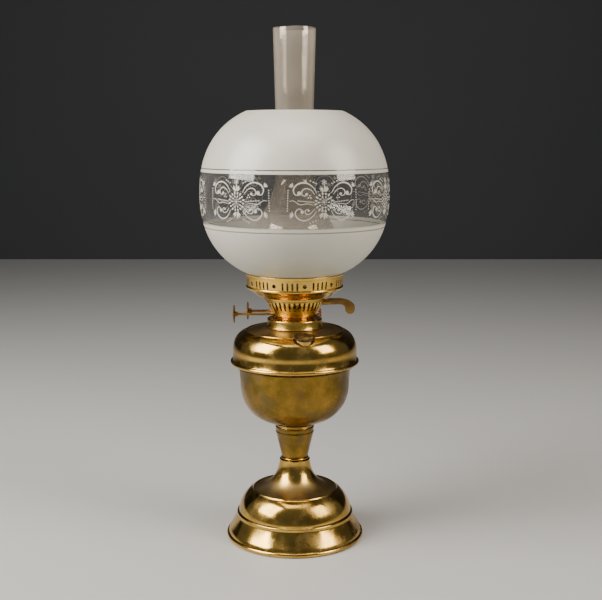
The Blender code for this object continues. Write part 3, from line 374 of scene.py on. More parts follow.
def globe_tree(name, more_sizes=(), counts=()):
    """Rounds a strip of turns and heights into the globe's squarish ball over its upright fitter."""
    sizes = ("Radius", "Centre Height", "Upper Height", "Lower Height", "Squareness", "Fitter Radius")
    tree = Tree(name, (*sizes, "Proud", *more_sizes), counts)
    turn, across, height = tree.place()
    over = height - tree.given("Centre Height")
    upper = over.above(0.0)
    semi = tree.given("Lower Height") + (tree.given("Upper Height") - tree.given("Lower Height")) * upper
    power = tree.given("Squareness")
    share = (over.size() / semi) ** power
    ball = tree.given("Radius") * ((share * -1.0 + 1.0).larger(0.0) ** (power ** -1.0))
    radius = ball.larger(tree.given("Fitter Radius")) + across + tree.given("Proud")
    place = tree.vector(radius * turn.sine(), radius * turn.cosine() * -1.0, height)
    return tree, tree.moved(place)


def globe_wall_tree():
    """The globe's outer face: its clear zones keep the finish they came with."""
    tree, shaped = globe_tree("globe_wall")
    return tree.finished(tree.closed(shaped), first_finish_only=True)


def etching_tree():
    """Wraps one flat sprig of ornament on the globe and repeats it round the axis."""
    tree, shaped = globe_tree("globe_etching", ("First Turn",), ("Repeats",))
    repeats = tree.given("Repeats")
    turn = tree.given("First Turn") + tree.amount("GeometryNodeInputIndex", 0) / repeats * math.tau
    return tree.finished(tree.spread_round(shaped, repeats, turn))


def chimney_tree():
    """Swells a strip of turns and heights into the chimney: a foot, a bulge and a long narrow neck."""
    sizes = ("Foot Height", "Foot Radius", "Foot Length", "Neck Radius", "Swell", "Bulge Height")
    sizes += ("Upper Spread", "Lower Spread", "Bulge Power", "Neck Height", "Flare", "Length", "Rim Wave")
    tree = Tree("chimney_swell", sizes)
    turn, _, height = tree.place()
    lift = height - tree.given("Foot Height")
    over = lift - tree.given("Bulge Height")
    upper = over.above(0.0)
    lower_spread = tree.given("Lower Spread")
    spread = lower_spread + (tree.given("Upper Spread") - lower_spread) * upper
    fall = ((over.size() / spread) ** tree.given("Bulge Power")) * -1.0
    past = (lift - tree.given("Neck Height")).larger(0.0) / (tree.given("Length") - tree.given("Neck Height"))
    body = tree.given("Neck Radius") + tree.given("Swell") * fall.power_of_e() + tree.given("Flare") * past
    in_body = lift.above(tree.given("Foot Length"))
    foot = tree.given("Foot Radius")
    radius = foot + (body - foot) * in_body
    wave = (turn * 3.0 + 0.7).sine() * tree.given("Rim Wave") * (past ** 6.0)
    place = tree.vector(radius * turn.sine(), radius * turn.cosine() * -1.0, height + wave)
    return tree.finished(tree.closed(tree.moved(place)))


def strip(name, heights, finish, steps):
    """A flat strip: X is the turn round the axis in radians, Z the height, from the top down."""
    vertices, faces = [], []
    for height in heights:
        for k in range(steps + 1):
            vertices.append((-math.tau * k / steps, 0.0, height))
    row = steps + 1
    for i in range(len(heights) - 1):
        for k in range(steps):
            a = i * row + k
            faces.append((a, a + 1, a + row + 1, a + row))
    return piece(name, vertices, faces, finish)


# ---- Finishes --------------------------------------------------------------------------------
class Recipe:
    """A finish that is mixed from nodes on the piece's own Object coordinates."""

    def __init__(self, name, colour, roughness, metallic=0.0):
        self.material = bpy.data.materials.new(name)
        self.material.use_nodes = True
        self.tree = self.material.node_tree
        self.shader = self.tree.nodes["Principled BSDF"]
        self.shader.inputs["Base Color"].default_value = (*colour, 1.0)
        self.shader.inputs["Roughness"].default_value = roughness
        self.shader.inputs["Metallic"].default_value = metallic
        self.place = self.tree.nodes.new("ShaderNodeTexCoord").outputs["Object"]

    def node(self, kind, inputs=None, **settings):
        made = self.tree.nodes.new(kind)
        for key, value in settings.items():
            setattr(made, key, value)
        for key, value in (inputs or {}).items():
            if isinstance(value, bpy.types.NodeSocket):
                self.tree.links.new(value, made.inputs[key])
            else:
                made.inputs[key].default_value = value
        return made

    def math(self, operation, first, second=0.0):
        return self.node("ShaderNodeMath", {0: first, 1: second}, operation=operation).outputs[0]

    def cloud(self, per_metre, detail=3.0, vector=None, roughness=0.5):
        """Soft noise with this many features in a metre, about 0 to 1."""
        inputs = {
            "Vector": self.place if vector is None else vector,
            "Scale": per_metre,
            "Detail": detail,
            "Roughness": roughness,
        }
        return self.node("ShaderNodeTexNoise", inputs).outputs["Fac"]

    def spread(self, value, low, high, new_low=0.0, new_high=1.0):
        inputs = {"Value": value, "From Min": low, "From Max": high, "To Min": new_low, "To Max": new_high}
        return self.node("ShaderNodeMapRange", inputs, clamp=True).outputs["Result"]

    def blend(self, share, first, second):
        """One colour turning into another."""
        node = self.node("ShaderNodeMix", {0: share}, data_type="RGBA")
        for slot, colour in ((node.inputs[6], first), (node.inputs[7], second)):
            if isinstance(colour, bpy.types.NodeSocket):
                self.tree.links.new(colour, slot)
            else:
                slot.default_value = (*colour, 1.0)
        return node.outputs[2]

    def lathe_place(self, around=0.0):
        """Distance from the axis and height, with a little of the turn: lines on it run round."""
        split = self.node("ShaderNodeSeparateXYZ", {0: self.place})
        x, y, z = split.outputs
        square = self.math("ADD", self.math("MULTIPLY", x, x), self.math("MULTIPLY", y, y))
        out = self.math("SQRT", square)
        turn = self.math("MULTIPLY", self.math("ARCTAN2", y, x), around)
        return self.node("ShaderNodeCombineXYZ", {0: out, 1: turn, 2: z}).outputs[0]

    def out(self):
        """Distance from the lamp's axis."""
        return self.node("ShaderNodeSeparateXYZ", {0: self.lathe_place()}).outputs[0]

    def colour(self, socket):
        self.tree.links.new(socket, self.shader.inputs["Base Color"])

    def rough(self, socket):
        self.tree.links.new(socket, self.shader.inputs["Roughness"])

    def relief(self, *layers):
        """Bumps, each as (height socket, depth in metres)."""
        normal = None
        for height, depth in layers:
            inputs = {"Height": height, "Distance": depth, "Strength": 1.0}
            if normal is not None:
                inputs["Normal"] = normal
            normal = self.node("ShaderNodeBump", inputs).outputs[0]
        self.tree.links.new(normal, self.shader.inputs["Normal"])


def spun_brass(name, bright, deep, gloss, tarnish, lathe=True, dull=None):
    """Polished or aged brass: cloudy tarnish, small dark specks, smudges and lathe lines.

    The flat between the dull radii is blended to grey-brown and made rougher.
    """
    recipe = Recipe(name, bright, gloss, 1.0)
    patches = recipe.cloud(26.0, 5.0, roughness=0.62)
    wide = recipe.spread(patches, 0.40, 0.68)
    colour = recipe.blend(recipe.math("MULTIPLY", wide, tarnish), bright, deep)
    specks = recipe.cloud(420.0, 3.0)
    speck = recipe.spread(specks, 0.66, 0.74, 0.0, 0.55)
    dark = tuple(c * 0.30 for c in deep)
    colour = recipe.blend(speck, colour, dark)
    smudge = recipe.cloud(60.0, 4.0)
    base = recipe.spread(smudge, 0.35, 0.75, gloss * 0.75, gloss * 1.55)
    rough = recipe.math("ADD", base, recipe.math("MULTIPLY", speck, 0.25))
    grey_brown_share = recipe.spread(recipe.cloud(44.0, 5.0, roughness=0.7), 0.48, 0.66, 0.0, tarnish * 0.55)
    if dull:
        inner = recipe.spread(recipe.out(), *dull[:2])
        outer = recipe.spread(recipe.out(), *dull[2:], 1.0, 0.0)
        zone = recipe.math("MULTIPLY", inner, outer)
        patchy = recipe.math("MULTIPLY", zone, recipe.spread(patches, 0.3, 0.6, 0.45, 0.95))
        grey_brown_share = recipe.math("MAXIMUM", grey_brown_share, patchy)
    recipe.colour(recipe.blend(grey_brown_share, colour, GREY_BROWN))
    recipe.rough(recipe.math("ADD", rough, recipe.math("MULTIPLY", grey_brown_share, 0.38)))
    layers = [(recipe.cloud(34.0, 2.0), 0.10 * MM)]
    if lathe:
        lines = recipe.cloud(1500.0, 2.0, recipe.lathe_place(0.004))
        layers.append((lines, 0.006 * MM))
    recipe.relief(*layers)
    return recipe.material


def plain_metal(name, colour, roughness, metallic=1.0):
    recipe = Recipe(name, colour, roughness, metallic)
    patches = recipe.spread(recipe.cloud(90.0, 4.0), 0.35, 0.7)
    recipe.colour(recipe.blend(patches, colour, tuple(c * 0.6 for c in colour)))
    rougher = min(1.0, roughness * 1.3)
    recipe.rough(recipe.spread(recipe.cloud(160.0, 3.0), 0.3, 0.7, roughness * 0.8, rougher))
    recipe.relief((recipe.cloud(500.0, 3.0), 0.03 * MM))
    return recipe.material


def dark_cap(name, dark, edge):
    """Brown-black tarnish, rubbed back towards metal in random patches."""
    recipe = Recipe(name, dark, 0.42, 0.85)
    patches = recipe.spread(recipe.cloud(220.0, 5.0), 0.42, 0.72)
    recipe.colour(recipe.blend(patches, dark, edge))
    recipe.rough(recipe.spread(recipe.cloud(300.0, 3.0), 0.3, 0.7, 0.28, 0.55))
    recipe.relief((recipe.cloud(420.0, 3.0), 0.05 * MM))
    return recipe.material


def oiled_leather(name, colour):
    recipe = Recipe(name, colour, 0.6)
    cells = recipe.node("ShaderNodeTexVoronoi", {"Vector": recipe.place, "Scale": 1400.0}).outputs["Distance"]
    recipe.colour(recipe.blend(recipe.cloud(150.0), colour, tuple(c * 0.5 for c in colour)))
    recipe.relief((cells, 0.08 * MM))
    return recipe.material


def woven_wick(name, cotton, char, char_height):
    """Flat woven cotton: ribs along the wick crossed by the weft, with painted shade in the grooves, charred
    at its top.
    """
    recipe = Recipe(name, cotton, 0.95)
    x, _, z = recipe.node("ShaderNodeSeparateXYZ", {0: recipe.place}).outputs
    ribs = recipe.math("SINE", recipe.math("MULTIPLY", x, math.tau / (1.25 * MM)))
    weft = recipe.math("SINE", recipe.math("MULTIPLY", z, math.tau / (0.8 * MM)))
    weave = recipe.math("MULTIPLY", recipe.math("ADD", ribs, 1.2), recipe.math("ADD", weft, 1.6))
    # painted shade: the grooves between the woven threads are painted darker than the raised threads
    shade = recipe.spread(weave, 0.0, 5.0)
    cloth = recipe.blend(shade, tuple(c * 0.62 for c in cotton), cotton)
    edge = recipe.math("ADD", z, recipe.math("MULTIPLY", recipe.cloud(500.0), 2.0 * MM))
    burnt = recipe.spread(edge, char_height - 1.5 * MM, char_height + 1.5 * MM)
    recipe.colour(recipe.blend(burnt, cloth, char))
    recipe.relief((weave, 0.05 * MM), (recipe.cloud(2500.0), 0.05 * MM))
    recipe.shader.inputs["Sheen Weight"].default_value = 0.3
    return recipe.material


def clear_glass(name, body, veil, edge_veil, dust, mirror):
    """Thin clear glass: mostly see-through, with a sheen that grows towards its edges."""
    recipe = Recipe(name, body, 0.05, mirror)
    recipe.shader.inputs["IOR"].default_value = 1.5
    recipe.shader.inputs["Specular IOR Level"].default_value = 0.9
    facing = recipe.node("ShaderNodeLayerWeight", {"Blend": 0.5}).outputs["Facing"]
    edge = recipe.math("POWER", facing, 3.0)
    haze = recipe.spread(recipe.cloud(38.0, 4.0), 0.40, 0.75, 0.0, dust)
    share = recipe.math("ADD", recipe.math("MULTIPLY", edge, edge_veil), recipe.math("ADD", haze, veil))
    through = recipe.node("ShaderNodeBsdfTransparent")
    through.inputs["Color"].default_value = (*[0.90 + 0.1 * c for c in body], 1.0)
    mix = recipe.node("ShaderNodeMixShader", {0: share, 1: through.outputs[0], 2: recipe.shader.outputs[0]})
    output = recipe.tree.nodes["Material Output"]
    recipe.tree.links.new(mix.outputs[0], output.inputs["Surface"])
    recipe.relief((recipe.cloud(14.0, 1.0), 0.25 * MM))
    return recipe.material


def frosted_glass(name, colour, painted_shade_tint, low, high):
    """Acid-frosted glass: milky and soft, with a faint grain, and painted shade that darkens it towards the
    brass below.
    """
    recipe = Recipe(name, colour, 0.36)
    recipe.shader.inputs["Transmission Weight"].default_value = 0.2
    recipe.shader.inputs["IOR"].default_value = 1.5
    recipe.shader.inputs["Specular IOR Level"].default_value = 0.95
    z = recipe.node("ShaderNodeSeparateXYZ", {0: recipe.place}).outputs[2]
    # painted shade: below the high height the frost turns to the darker shade tint
    lower = recipe.spread(z, low, high, 1.0, 0.0)
    frost_with_painted_shade = recipe.blend(lower, colour, painted_shade_tint)
    patches = recipe.spread(recipe.cloud(24.0, 4.0), 0.35, 0.75, 0.0, 0.35)
    recipe.colour(recipe.blend(patches, frost_with_painted_shade, tuple(c * 0.94 for c in painted_shade_tint)))
    recipe.relief((recipe.cloud(2600.0, 2.0), 0.012 * MM))
    return recipe.material


def finishes():
    """Every finish of the lamp, made once."""
    looks = bpy.context.scene.lamp_finishes
    if FINISH:
        return FINISH
    bright, deep = tuple(looks.brass), tuple(looks.tarnish)
    FINISH.update(
        brass=spun_brass("Polished spun brass", bright, deep, 0.15, 0.75),
        foot=spun_brass("Polished foot brass", bright, deep, 0.15, 0.8, dull=(0.021, 0.028, 0.0445, 0.0455)),
        top=spun_brass("Polished font brass", bright, deep, 0.14, 0.8, dull=(0.0, 0.001, 0.052, 0.053)),
        # satin brass of bowl and stem, its colour kept far darker than brass as painted dark reflection
        satin=spun_brass("Satin brass darkened as painted reflection", tuple(looks.satin), deep, 0.27, 0.85),
        gold=spun_brass("Lacquered gold brass", tuple(looks.gold), bright, 0.20, 0.5),
        burner=spun_brass("Stamped burner brass", tuple(looks.gold), bright, 0.24, 0.5, lathe=False),
        old=spun_brass("Handled brown brass", tuple(looks.old), deep, 0.30, 0.9, lathe=False),
        copper=plain_metal("Heat-reddened copper", (0.50, 0.17, 0.09), 0.30),
        cap=dark_cap("Tarnished cap", (0.028, 0.021, 0.015), (0.16, 0.10, 0.05)),
        iron=plain_metal("Blackened cast iron", (0.045, 0.045, 0.047), 0.7, 0.4),
        steel=plain_metal("Dull steel", (0.42, 0.42, 0.41), 0.42),
        leather=oiled_leather("Oiled leather washer", (0.20, 0.11, 0.055)),
        wick=woven_wick("Woven cotton wick", (0.74, 0.68, 0.55), (0.03, 0.025, 0.02), 285.2 * MM),
        chimney=clear_glass("Smoked clear glass", (0.66, 0.58, 0.47), 0.24, 0.45, 0.14, 0.4),
        clear=clear_glass("Clear globe glass", (0.66, 0.65, 0.62), 0.07, 0.45, 0.03, 0.7),
        # the darker second colour is painted shade on the globe's lower frost, from 345 mm down to 285 mm
        frost=frosted_glass(
            "Acid-frosted glass", tuple(looks.frost), (0.56, 0.55, 0.45), 285 * MM, 345 * MM
        ),
        etch=frosted_glass("Etched ornament", tuple(looks.frost), tuple(looks.frost), 0.0, 1.0),
    )
    return FINISH


FINISH = {}


# ---- Sizes and colours -----------------------------------------------------------------------
def length_of(name, description, default):
    return FloatProperty(name=name, description=description, default=default, min=0.0, unit="LENGTH")


def colour_of(name, description, default):
    return FloatVectorProperty(
        name=name, description=description, default=default, size=3, min=0.0, max=1.0, subtype="COLOR"
    )


class LampFinishes(bpy.types.PropertyGroup):
    """Colours of the lamp's metals and glass"""

    brass: colour_of("Brass", "Polished brass of foot, font top and gallery", (0.72, 0.45, 0.10))
    tarnish: colour_of("Tarnish", "Deeper tone of the cloudy patches", (0.42, 0.23, 0.04))
    # Partly the satin brass of bowl and stem, partly painted dark reflection: far darker than any brass, so
    # their lower faces look dark
    satin: colour_of("Satin Brass", "Duller brass of the bowl and the stem", (0.15, 0.098, 0.016))
    gold: colour_of("Gold Brass", "Lacquered brass of the burner and gallery", (0.82, 0.52, 0.10))
    old: colour_of("Old Brass", "Brown brass of winders and lever", (0.27, 0.15, 0.045))
    frost: colour_of("Frost", "Acid-frosted glass of the globe", (0.74, 0.70, 0.61))


class FootSizes(bpy.types.PropertyGroup):
    """Sizes of the spun foot"""

    rim_radius: length_of("Rim Radius", "Centre of the rolled rim", 72.7 * MM)
    rim_bead: length_of("Rim Bead", "Radius of the rolled rim", 2.6 * MM)
    step_radius: length_of("Step Radius", "Edge between the skirt and the crown", 63.8 * MM)
    step_height: length_of("Step Height", "Height of that edge", 26.3 * MM)
    crown_radius: length_of("Crown Width", "Radial size of the convex crown", 22.5 * MM)
    crown_height: length_of("Crown Height", "Height of the crown's oval", 33.5 * MM)
    ring_radius: length_of("Ring Radius", "Ring where the flare of the neck starts", 45.5 * MM)
    neck_radius: length_of("Neck Radius", "Neck at the top of the foot", 16.6 * MM)


class FontSizes(bpy.types.PropertyGroup):
    """Sizes of the oil font"""

    bowl_radius: length_of("Bowl Radius", "Bowl at its widest", 58.9 * MM)
    bowl_depth: length_of("Bowl Depth", "Depth of the bowl's round side", 46.0 * MM)
    dome_radius: length_of("Top Radius", "Wall of the domed top", 66.8 * MM)
    shoulder: length_of("Shoulder Width", "Radial size of the dome's shoulder", 19.8 * MM)
    shoulder_height: length_of("Shoulder Height", "Height of the dome's shoulder", 22.8 * MM)
    bead: length_of("Bead", "Radius of the bead between bowl and top", 2.1 * MM)


class BurnerSizes(bpy.types.PropertyGroup):
    """Sizes of the burner's basket and the gallery"""

    slot_width: length_of("Basket Slot Width", "Width of an air slot in the basket", 2.4 * MM)
    slot_length: length_of("Basket Slot Length", "Length of an air slot in the basket", 9.4 * MM)
    slots: IntProperty(name="Basket Slots", description="Air slots round the basket", default=36, min=1)
    hole_width: length_of("Gallery Hole", "Width of a round hole in the gallery's wall", 4.4 * MM)
    bar_slot_width: length_of("Gallery Slot Width", "Width of an upright slot in the wall", 2.1 * MM)
    bar_slot_length: length_of("Gallery Slot Length", "Length of an upright slot in the wall", 8.2 * MM)
    groups: IntProperty(name="Gallery Groups", description="Groups of gallery slots", default=10, min=1)


class GlassSizes(bpy.types.PropertyGroup):
    """Sizes of the chimney, the globe and its etching"""

    globe_radius: length_of("Globe Radius", "Globe at its widest", 100.0 * MM)
    globe_wall: length_of("Globe Wall", "Thickness of the globe", 2.6 * MM)
    chimney_wall: length_of("Chimney Wall", "Thickness of the chimney", 1.8 * MM)
    bulge: length_of("Chimney Bulge", "How far the chimney swells over its neck", 25.0 * MM)
    band_top: length_of("Band Top", "Upper edge of the clear band", 398.5 * MM)
    band_bottom: length_of("Band Bottom", "Lower edge of the clear band", 345.0 * MM)
    repeats: IntProperty(name="Repeats", description="Sprigs of ornament round the globe", default=7, min=1)


class StageSizes(bpy.types.PropertyGroup):
    """The floor, the backdrop and the light"""

    floor: colour_of("Floor", "Pale floor", (0.50, 0.49, 0.47))
    backdrop: colour_of("Backdrop", "Plain dark wall behind the lamp", (0.040, 0.042, 0.047))
    left_box: FloatProperty(name="Left Box", description="Left soft box, in watts", default=46.0)
    right_box: FloatProperty(name="Right Box", description="Right soft box, in watts", default=22.0)
    fill: FloatProperty(name="Fill", description="Soft light overhead, in watts", default=14.0)


# ---- Foot and stem ---------------------------------------------------------------------------
class LAMP_OT_foot(bpy.types.Operator):
    """Spun foot: rolled rim, hollow skirt, step, convex crown and flared neck"""

    bl_idname = "lamp.foot"
    bl_label = "Foot"

    def execute(self, context):
        s = context.scene.lamp_foot
        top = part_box("foot_shell")[1].z
        crown = (s.step_radius - 1.3 * MM - s.crown_radius, 20.0 * MM)
        ring_z = 53.0 * MM
        bead = 0.75 * MM
        profile = [(s.neck_radius - 0.9 * MM, top), (s.neck_radius, top - 0.6 * MM)]
        flare = (s.ring_radius, top)
        profile += oval(flare, s.ring_radius - s.neck_radius, top - ring_z, 184, 266, 30, 2.0)
        profile += arc((s.ring_radius - 0.3 * MM, ring_z - 0.4 * MM), bead, 115, 10, 8)
        profile += oval(crown, s.crown_radius, s.crown_height, 71, 17, 26, 2.0)
        profile += [(s.step_radius - 2.1 * MM, s.step_height + 2.2 * MM)]
        profile += arc((s.step_radius - 1.4 * MM, s.step_height), 1.4 * MM, 70, -12, 8)
        waist = (s.rim_radius - 4.9 * MM, 14.9 * MM)
        start = (s.step_radius - 0.2 * MM, s.step_height - 2.0 * MM)
        profile += bow(start, waist, (s.rim_radius - 0.8 * MM, 8.4 * MM), 16)
        profile += [(s.rim_radius - 0.1 * MM, 6.7 * MM)]
        profile += arc((s.rim_radius, s.rim_bead), s.rim_bead, 82, -90, 14)
        profile += [(s.rim_radius - 2.8 * MM, 0.0)]
        foot = spun_sheet("foot", profile, finishes()["foot"])
        fitted(foot, "lamp_body", "polished_brass", "foot_shell")
        return {"FINISHED"}


class LAMP_OT_stem(bpy.types.Operator):
    """Stem: a thin ring, the taper, a double ring and the seat under the bowl"""

    bl_idname = "lamp.stem"
    bl_label = "Stem"

    def execute(self, context):
        finish = finishes()
        bore = 9.0 * MM
        low, high = (corner.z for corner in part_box("stem_lower_ring"))
        half = (high - low) / 2
        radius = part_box("stem_lower_ring")[1].x
        profile = [(bore, high)]
        profile += arc((radius - half, low + half), half, 90, -90, 10)
        profile += [(bore, low)]
        ring = turned("stem_ring", profile, finish["brass"])
        fitted(ring, "lamp_body", "polished_brass", "stem_lower_ring")

        low, high = (corner.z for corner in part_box("stem_taper"))
        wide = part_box("stem_taper")[1].x
        slim = 14.4 * MM
        side = bow((wide, high - 0.4 * MM), (17.1 * MM, 101.5 * MM), (slim, low + 0.4 * MM), 16)
        profile = [(wide - 0.4 * MM, high)] + side + [(slim - 0.4 * MM, low)]
        # the taper's satin finish carries painted dark reflection as well as satin brass
        taper = spun_sheet("stem_tapered", profile, finish["satin"], 1.1 * MM)
        fitted(taper, "lamp_body", "polished_brass", "stem_taper")

        low, high = (corner.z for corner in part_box("stem_upper_ring"))
        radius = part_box("stem_upper_ring")[1].x
        bead = 0.65 * MM
        profile = [(bore, high)]
        profile += arc((radius - bead, high - bead), bead, 90, -60, 8)
        profile += [(radius - 0.7 * MM, high - 1.9 * MM), (radius - 0.35 * MM, low + 0.3 * MM)]
        profile += [(radius - 0.6 * MM, low), (bore, low)]
        # the ring's satin finish carries painted dark reflection as well as satin brass
        ring = turned("stem_beaded_ring", profile, finish["satin"])
        fitted(ring, "lamp_body", "polished_brass", "stem_upper_ring")

        low, high = (corner.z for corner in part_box("bowl_seat"))
        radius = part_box("bowl_seat")[1].x
        profile = [(bore, high)] + arc((radius - 0.9 * MM, high - 0.9 * MM), 0.9 * MM, 90, -40, 8)
        profile += bow((radius - 0.9 * MM, high - 2.0 * MM), (19.6 * MM, low + 1.2 * MM), (20.7 * MM, low), 8)
        profile += [(bore, low)]
        seat = turned("bowl_seat_ring", profile, finish["brass"])
        fitted(seat, "lamp_body", "polished_brass", "bowl_seat")
        return {"FINISHED"}


# ---- Oil font --------------------------------------------------------------------------------
class LAMP_OT_font(bpy.types.Operator):
    """Oil font: the round bowl, its domed top with a bead, and the burner's collar"""

    bl_idname = "lamp.font"
    bl_label = "Oil Font"

    def execute(self, context):
        s = context.scene.lamp_font
        finish = finishes()
        low, high = (corner.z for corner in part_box("font_bowl"))
        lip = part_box("font_bowl")[1].x
        turn_z = low + s.bowl_depth
        cove = (s.bowl_radius + 1.6 * MM, high - 1.8 * MM)
        profile = [(lip, high - 0.1 * MM)]
        profile += bow((lip, high - 0.1 * MM), (cove[0], high - 0.4 * MM), cove, 6)
        profile += bow(cove, (s.bowl_radius + 0.6 * MM, turn_z + 11 * MM), (s.bowl_radius, turn_z), 8)
        flat = 10.0 * MM
        profile += oval((flat, turn_z), s.bowl_radius - flat, s.bowl_depth, 0, -90, 56)
        profile += [(3.3 * MM, low)]
        # the bowl's satin finish is painted far darker than brass: painted dark reflection over satin brass
        bowl = spun_sheet("oil_bowl", profile, finish["satin"])
        fitted(bowl, "lamp_body", "polished_brass", "font_bowl")

        low, high = (corner.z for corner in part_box("font_dome"))
        bead_z = low + 2 * s.bead
        shoulder_z = high - 3.6 * MM - 22.15 * MM
        centre = (s.dome_radius - s.shoulder, shoulder_z)
        ring_r = 53.0 * MM
        share = (ring_r - centre[0]) / s.shoulder
        start = math.degrees(math.acos(share ** (SQUARENESS / 2)))
        top = oval(centre, s.shoulder, s.shoulder_height, start, 0, 40)
        ring_z = top[0][1]
        profile = [(20.6 * MM, high - 0.1 * MM), (31.5 * MM, high - 0.1 * MM)]
        profile += [(ring_r - 2.2 * MM, ring_z + 0.15 * MM)]
        profile += arc((ring_r - 1.0 * MM, ring_z + 0.05 * MM), 1.0 * MM, 150, 15, 8)
        profile += top[1:]
        proud = s.dome_radius + 2.7 * MM - s.bead
        profile += [(s.dome_radius, bead_z + s.bead + 0.3 * MM)]
        profile += arc((proud, bead_z), s.bead, 100, -80, 14)
        profile += [(64.0 * MM, low + 0.8 * MM)]
        dome = spun_sheet("font_top", profile, finish["top"])
        spout = filler_place()
        placed(dome, spout.inverted())
        pierced(dome, False, Width=FILLER_HOLE, Length=FILLER_HOLE, Depth=16.0 * MM)
        placed(dome, spout)
        softened(dome)
        fitted(dome, "lamp_body", "polished_brass", "font_dome")

        low, high = (corner.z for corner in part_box("font_collar"))
        profile = [(20.6 * MM, high), (28.4 * MM, high)]
        profile += arc((28.4 * MM, high - 1.1 * MM), 1.1 * MM, 80, 0, 6)
        profile += [(29.5 * MM, low + 1.9 * MM), (29.8 * MM, low + 1.3 * MM)]
        profile += arc((31.0 * MM, low + 0.5 * MM), 0.5 * MM, 90, -90, 6)
        profile += [(18.6 * MM, low), (18.6 * MM, low + 2.0 * MM), (20.6 * MM, low + 2.0 * MM)]
        collar = turned("burner_collar", profile, finish["gold"])
        fitted(collar, "lamp_body", "polished_brass", "font_collar")
        return {"FINISHED"}


def filler_place():
    """Where the filler stands: its middle on the font's top, tilted outwards."""
    low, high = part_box("filler_gasket")
    middle = (low + high) / 2
    tilt = Matrix.Rotation(math.radians(9.5), 4, "X")
    towards = math.atan2(middle.y, middle.x)
    facing = Matrix.Rotation(towards + math.pi / 2, 4, "Z")
    lifted = Matrix.Translation((0.0, 0.0, -0.75 * MM))
    return Matrix.Translation(middle) @ facing @ tilt @ lifted


class LAMP_OT_filler(bpy.types.Operator):
    """Filler: a short neck in the font's top, its leather washer and the dark screw cap"""

    bl_idname = "lamp.filler"
    bl_label = "Filler"

    def execute(self, context):
        finish = finishes()
        place = filler_place()
        neck = [(6.8, 0.1), (8.6, 0.1), (8.8, -0.1), (8.8, -9.7), (6.8, -9.7)]
        neck = turned("filler_spout", [(r * MM, z * MM) for r, z in neck], finish["brass"], SMALL_STEPS)
        fitted(placed(neck, place), "lamp_body", "polished_brass", "filler_neck")
        washer = [(6.8, 1.1), (8.7, 1.1), (8.8, 1.0), (8.8, 0.5), (8.7, 0.4), (6.8, 0.4)]
        washer = [(r * MM, z * MM) for r, z in washer]
        washer = turned("filler_leather", washer, finish["leather"], SMALL_STEPS)
        fitted(placed(washer, place), "filler_washer", "leather", "filler_gasket")
        under, top, edge = 1.4 * MM, 3.3 * MM, 11.5 * MM
        profile = [(0.0, top - 0.35 * MM), (7.6 * MM, top - 0.35 * MM), (8.4 * MM, top - 0.05 * MM)]
        profile += [(9.4 * MM, top)]
        profile += arc((edge - 0.7 * MM, top - 0.7 * MM), 0.7 * MM, 90, 0, 6)
        profile += arc((edge - 0.3 * MM, under + 0.3 * MM), 0.3 * MM, 0, -90, 4)
        profile += [(6.3 * MM, under), (6.3 * MM, under - 4.0 * MM), (0.0, under - 4.0 * MM)]
        cap = turned("filler_cap_screw", profile, finish["cap"], 96)
        fitted(placed(cap, place), "filler_cap", "tarnished_brass", "filler_cap")
        return {"FINISHED"}


# ---- Burner ----------------------------------------------------------------------------------
class LAMP_OT_burner(bpy.types.Operator):
    """Burner: the slotted basket on its cup, cut through for spindles and lever"""

    bl_idname = "lamp.burner"
    bl_label = "Burner Basket"

    def execute(self, context):
        s = context.scene.lamp_burner
        finish = finishes()
        low, high = (corner.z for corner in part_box("burner_basket"))
        rim = 31.8 * MM
        profile = [(rim - 0.3 * MM, high)]
        profile += arc((rim - 0.5 * MM, high - 0.5 * MM), 0.5 * MM, 70, 0, 4)
        profile += arc((rim - 0.4 * MM, high - 1.3 * MM), 0.4 * MM, 0, -60, 4)
        neck = (30.6 * MM, high - 3.2 * MM)
        profile += bow((rim - 0.9 * MM, high - 1.7 * MM), (30.9 * MM, high - 2.2 * MM), neck, 5)
        profile += [(28.7 * MM, high - 8.2 * MM), (25.4 * MM, low + 7.2 * MM)]
        foot = (20.0 * MM, low + 0.9 * MM)
        profile += bow((25.2 * MM, low + 6.8 * MM), (24.0 * MM, low + 2.4 * MM), foot, 10)
        profile += arc((19.2 * MM, low + 0.7 * MM), 0.7 * MM, 20, -90, 5)
        profile += [(18.2 * MM, low)]
        basket = spun_sheet("burner_cup_and_basket", profile, finish["burner"], THIN_SHEET, 216)
        step = math.tau / s.slots
        slots = {"In_Group": s.slots - 1, "First_Turn": step, "Turn_In_Group": step}
        slots.update(Radius=27.5 * MM, Height=low + 15.2 * MM)
        pierced(basket, True, Width=s.slot_width, Length=s.slot_length, Depth=14.0 * MM, **slots)
        pivot_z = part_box("lever_pin")[0].z / 2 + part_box("lever_pin")[1].z / 2
        notch = {"Radius": 30.0 * MM, "Height": pivot_z - 0.4 * MM}
        pierced(basket, True, Width=3.0 * MM, Length=11.4 * MM, Depth=12.0 * MM, **notch)
        for spindle in ("winder_spindle_front", "winder_spindle_rear"):
            low_corner, high_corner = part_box(spindle)
            middle = (low_corner + high_corner) / 2
            aside = Matrix.Translation((0.0, -middle.y, 0.0))
            placed(basket, aside)
            bore = 3.4 * MM
            pierced(basket, True, Height=middle.z, Width=bore, Length=bore, Depth=70.0 * MM)
            placed(basket, aside.inverted())
        softened(basket)
        fitted(basket, "burner", "gold_brass", "burner_basket")
        return {"FINISHED"}


def along_x(made, x, y, z):
    """Turns an upright piece to lie along X, its lower end towards -X."""
    return placed(made, Matrix.Translation((x, y, z)) @ Matrix.Rotation(math.pi / 2, 4, "Y"))


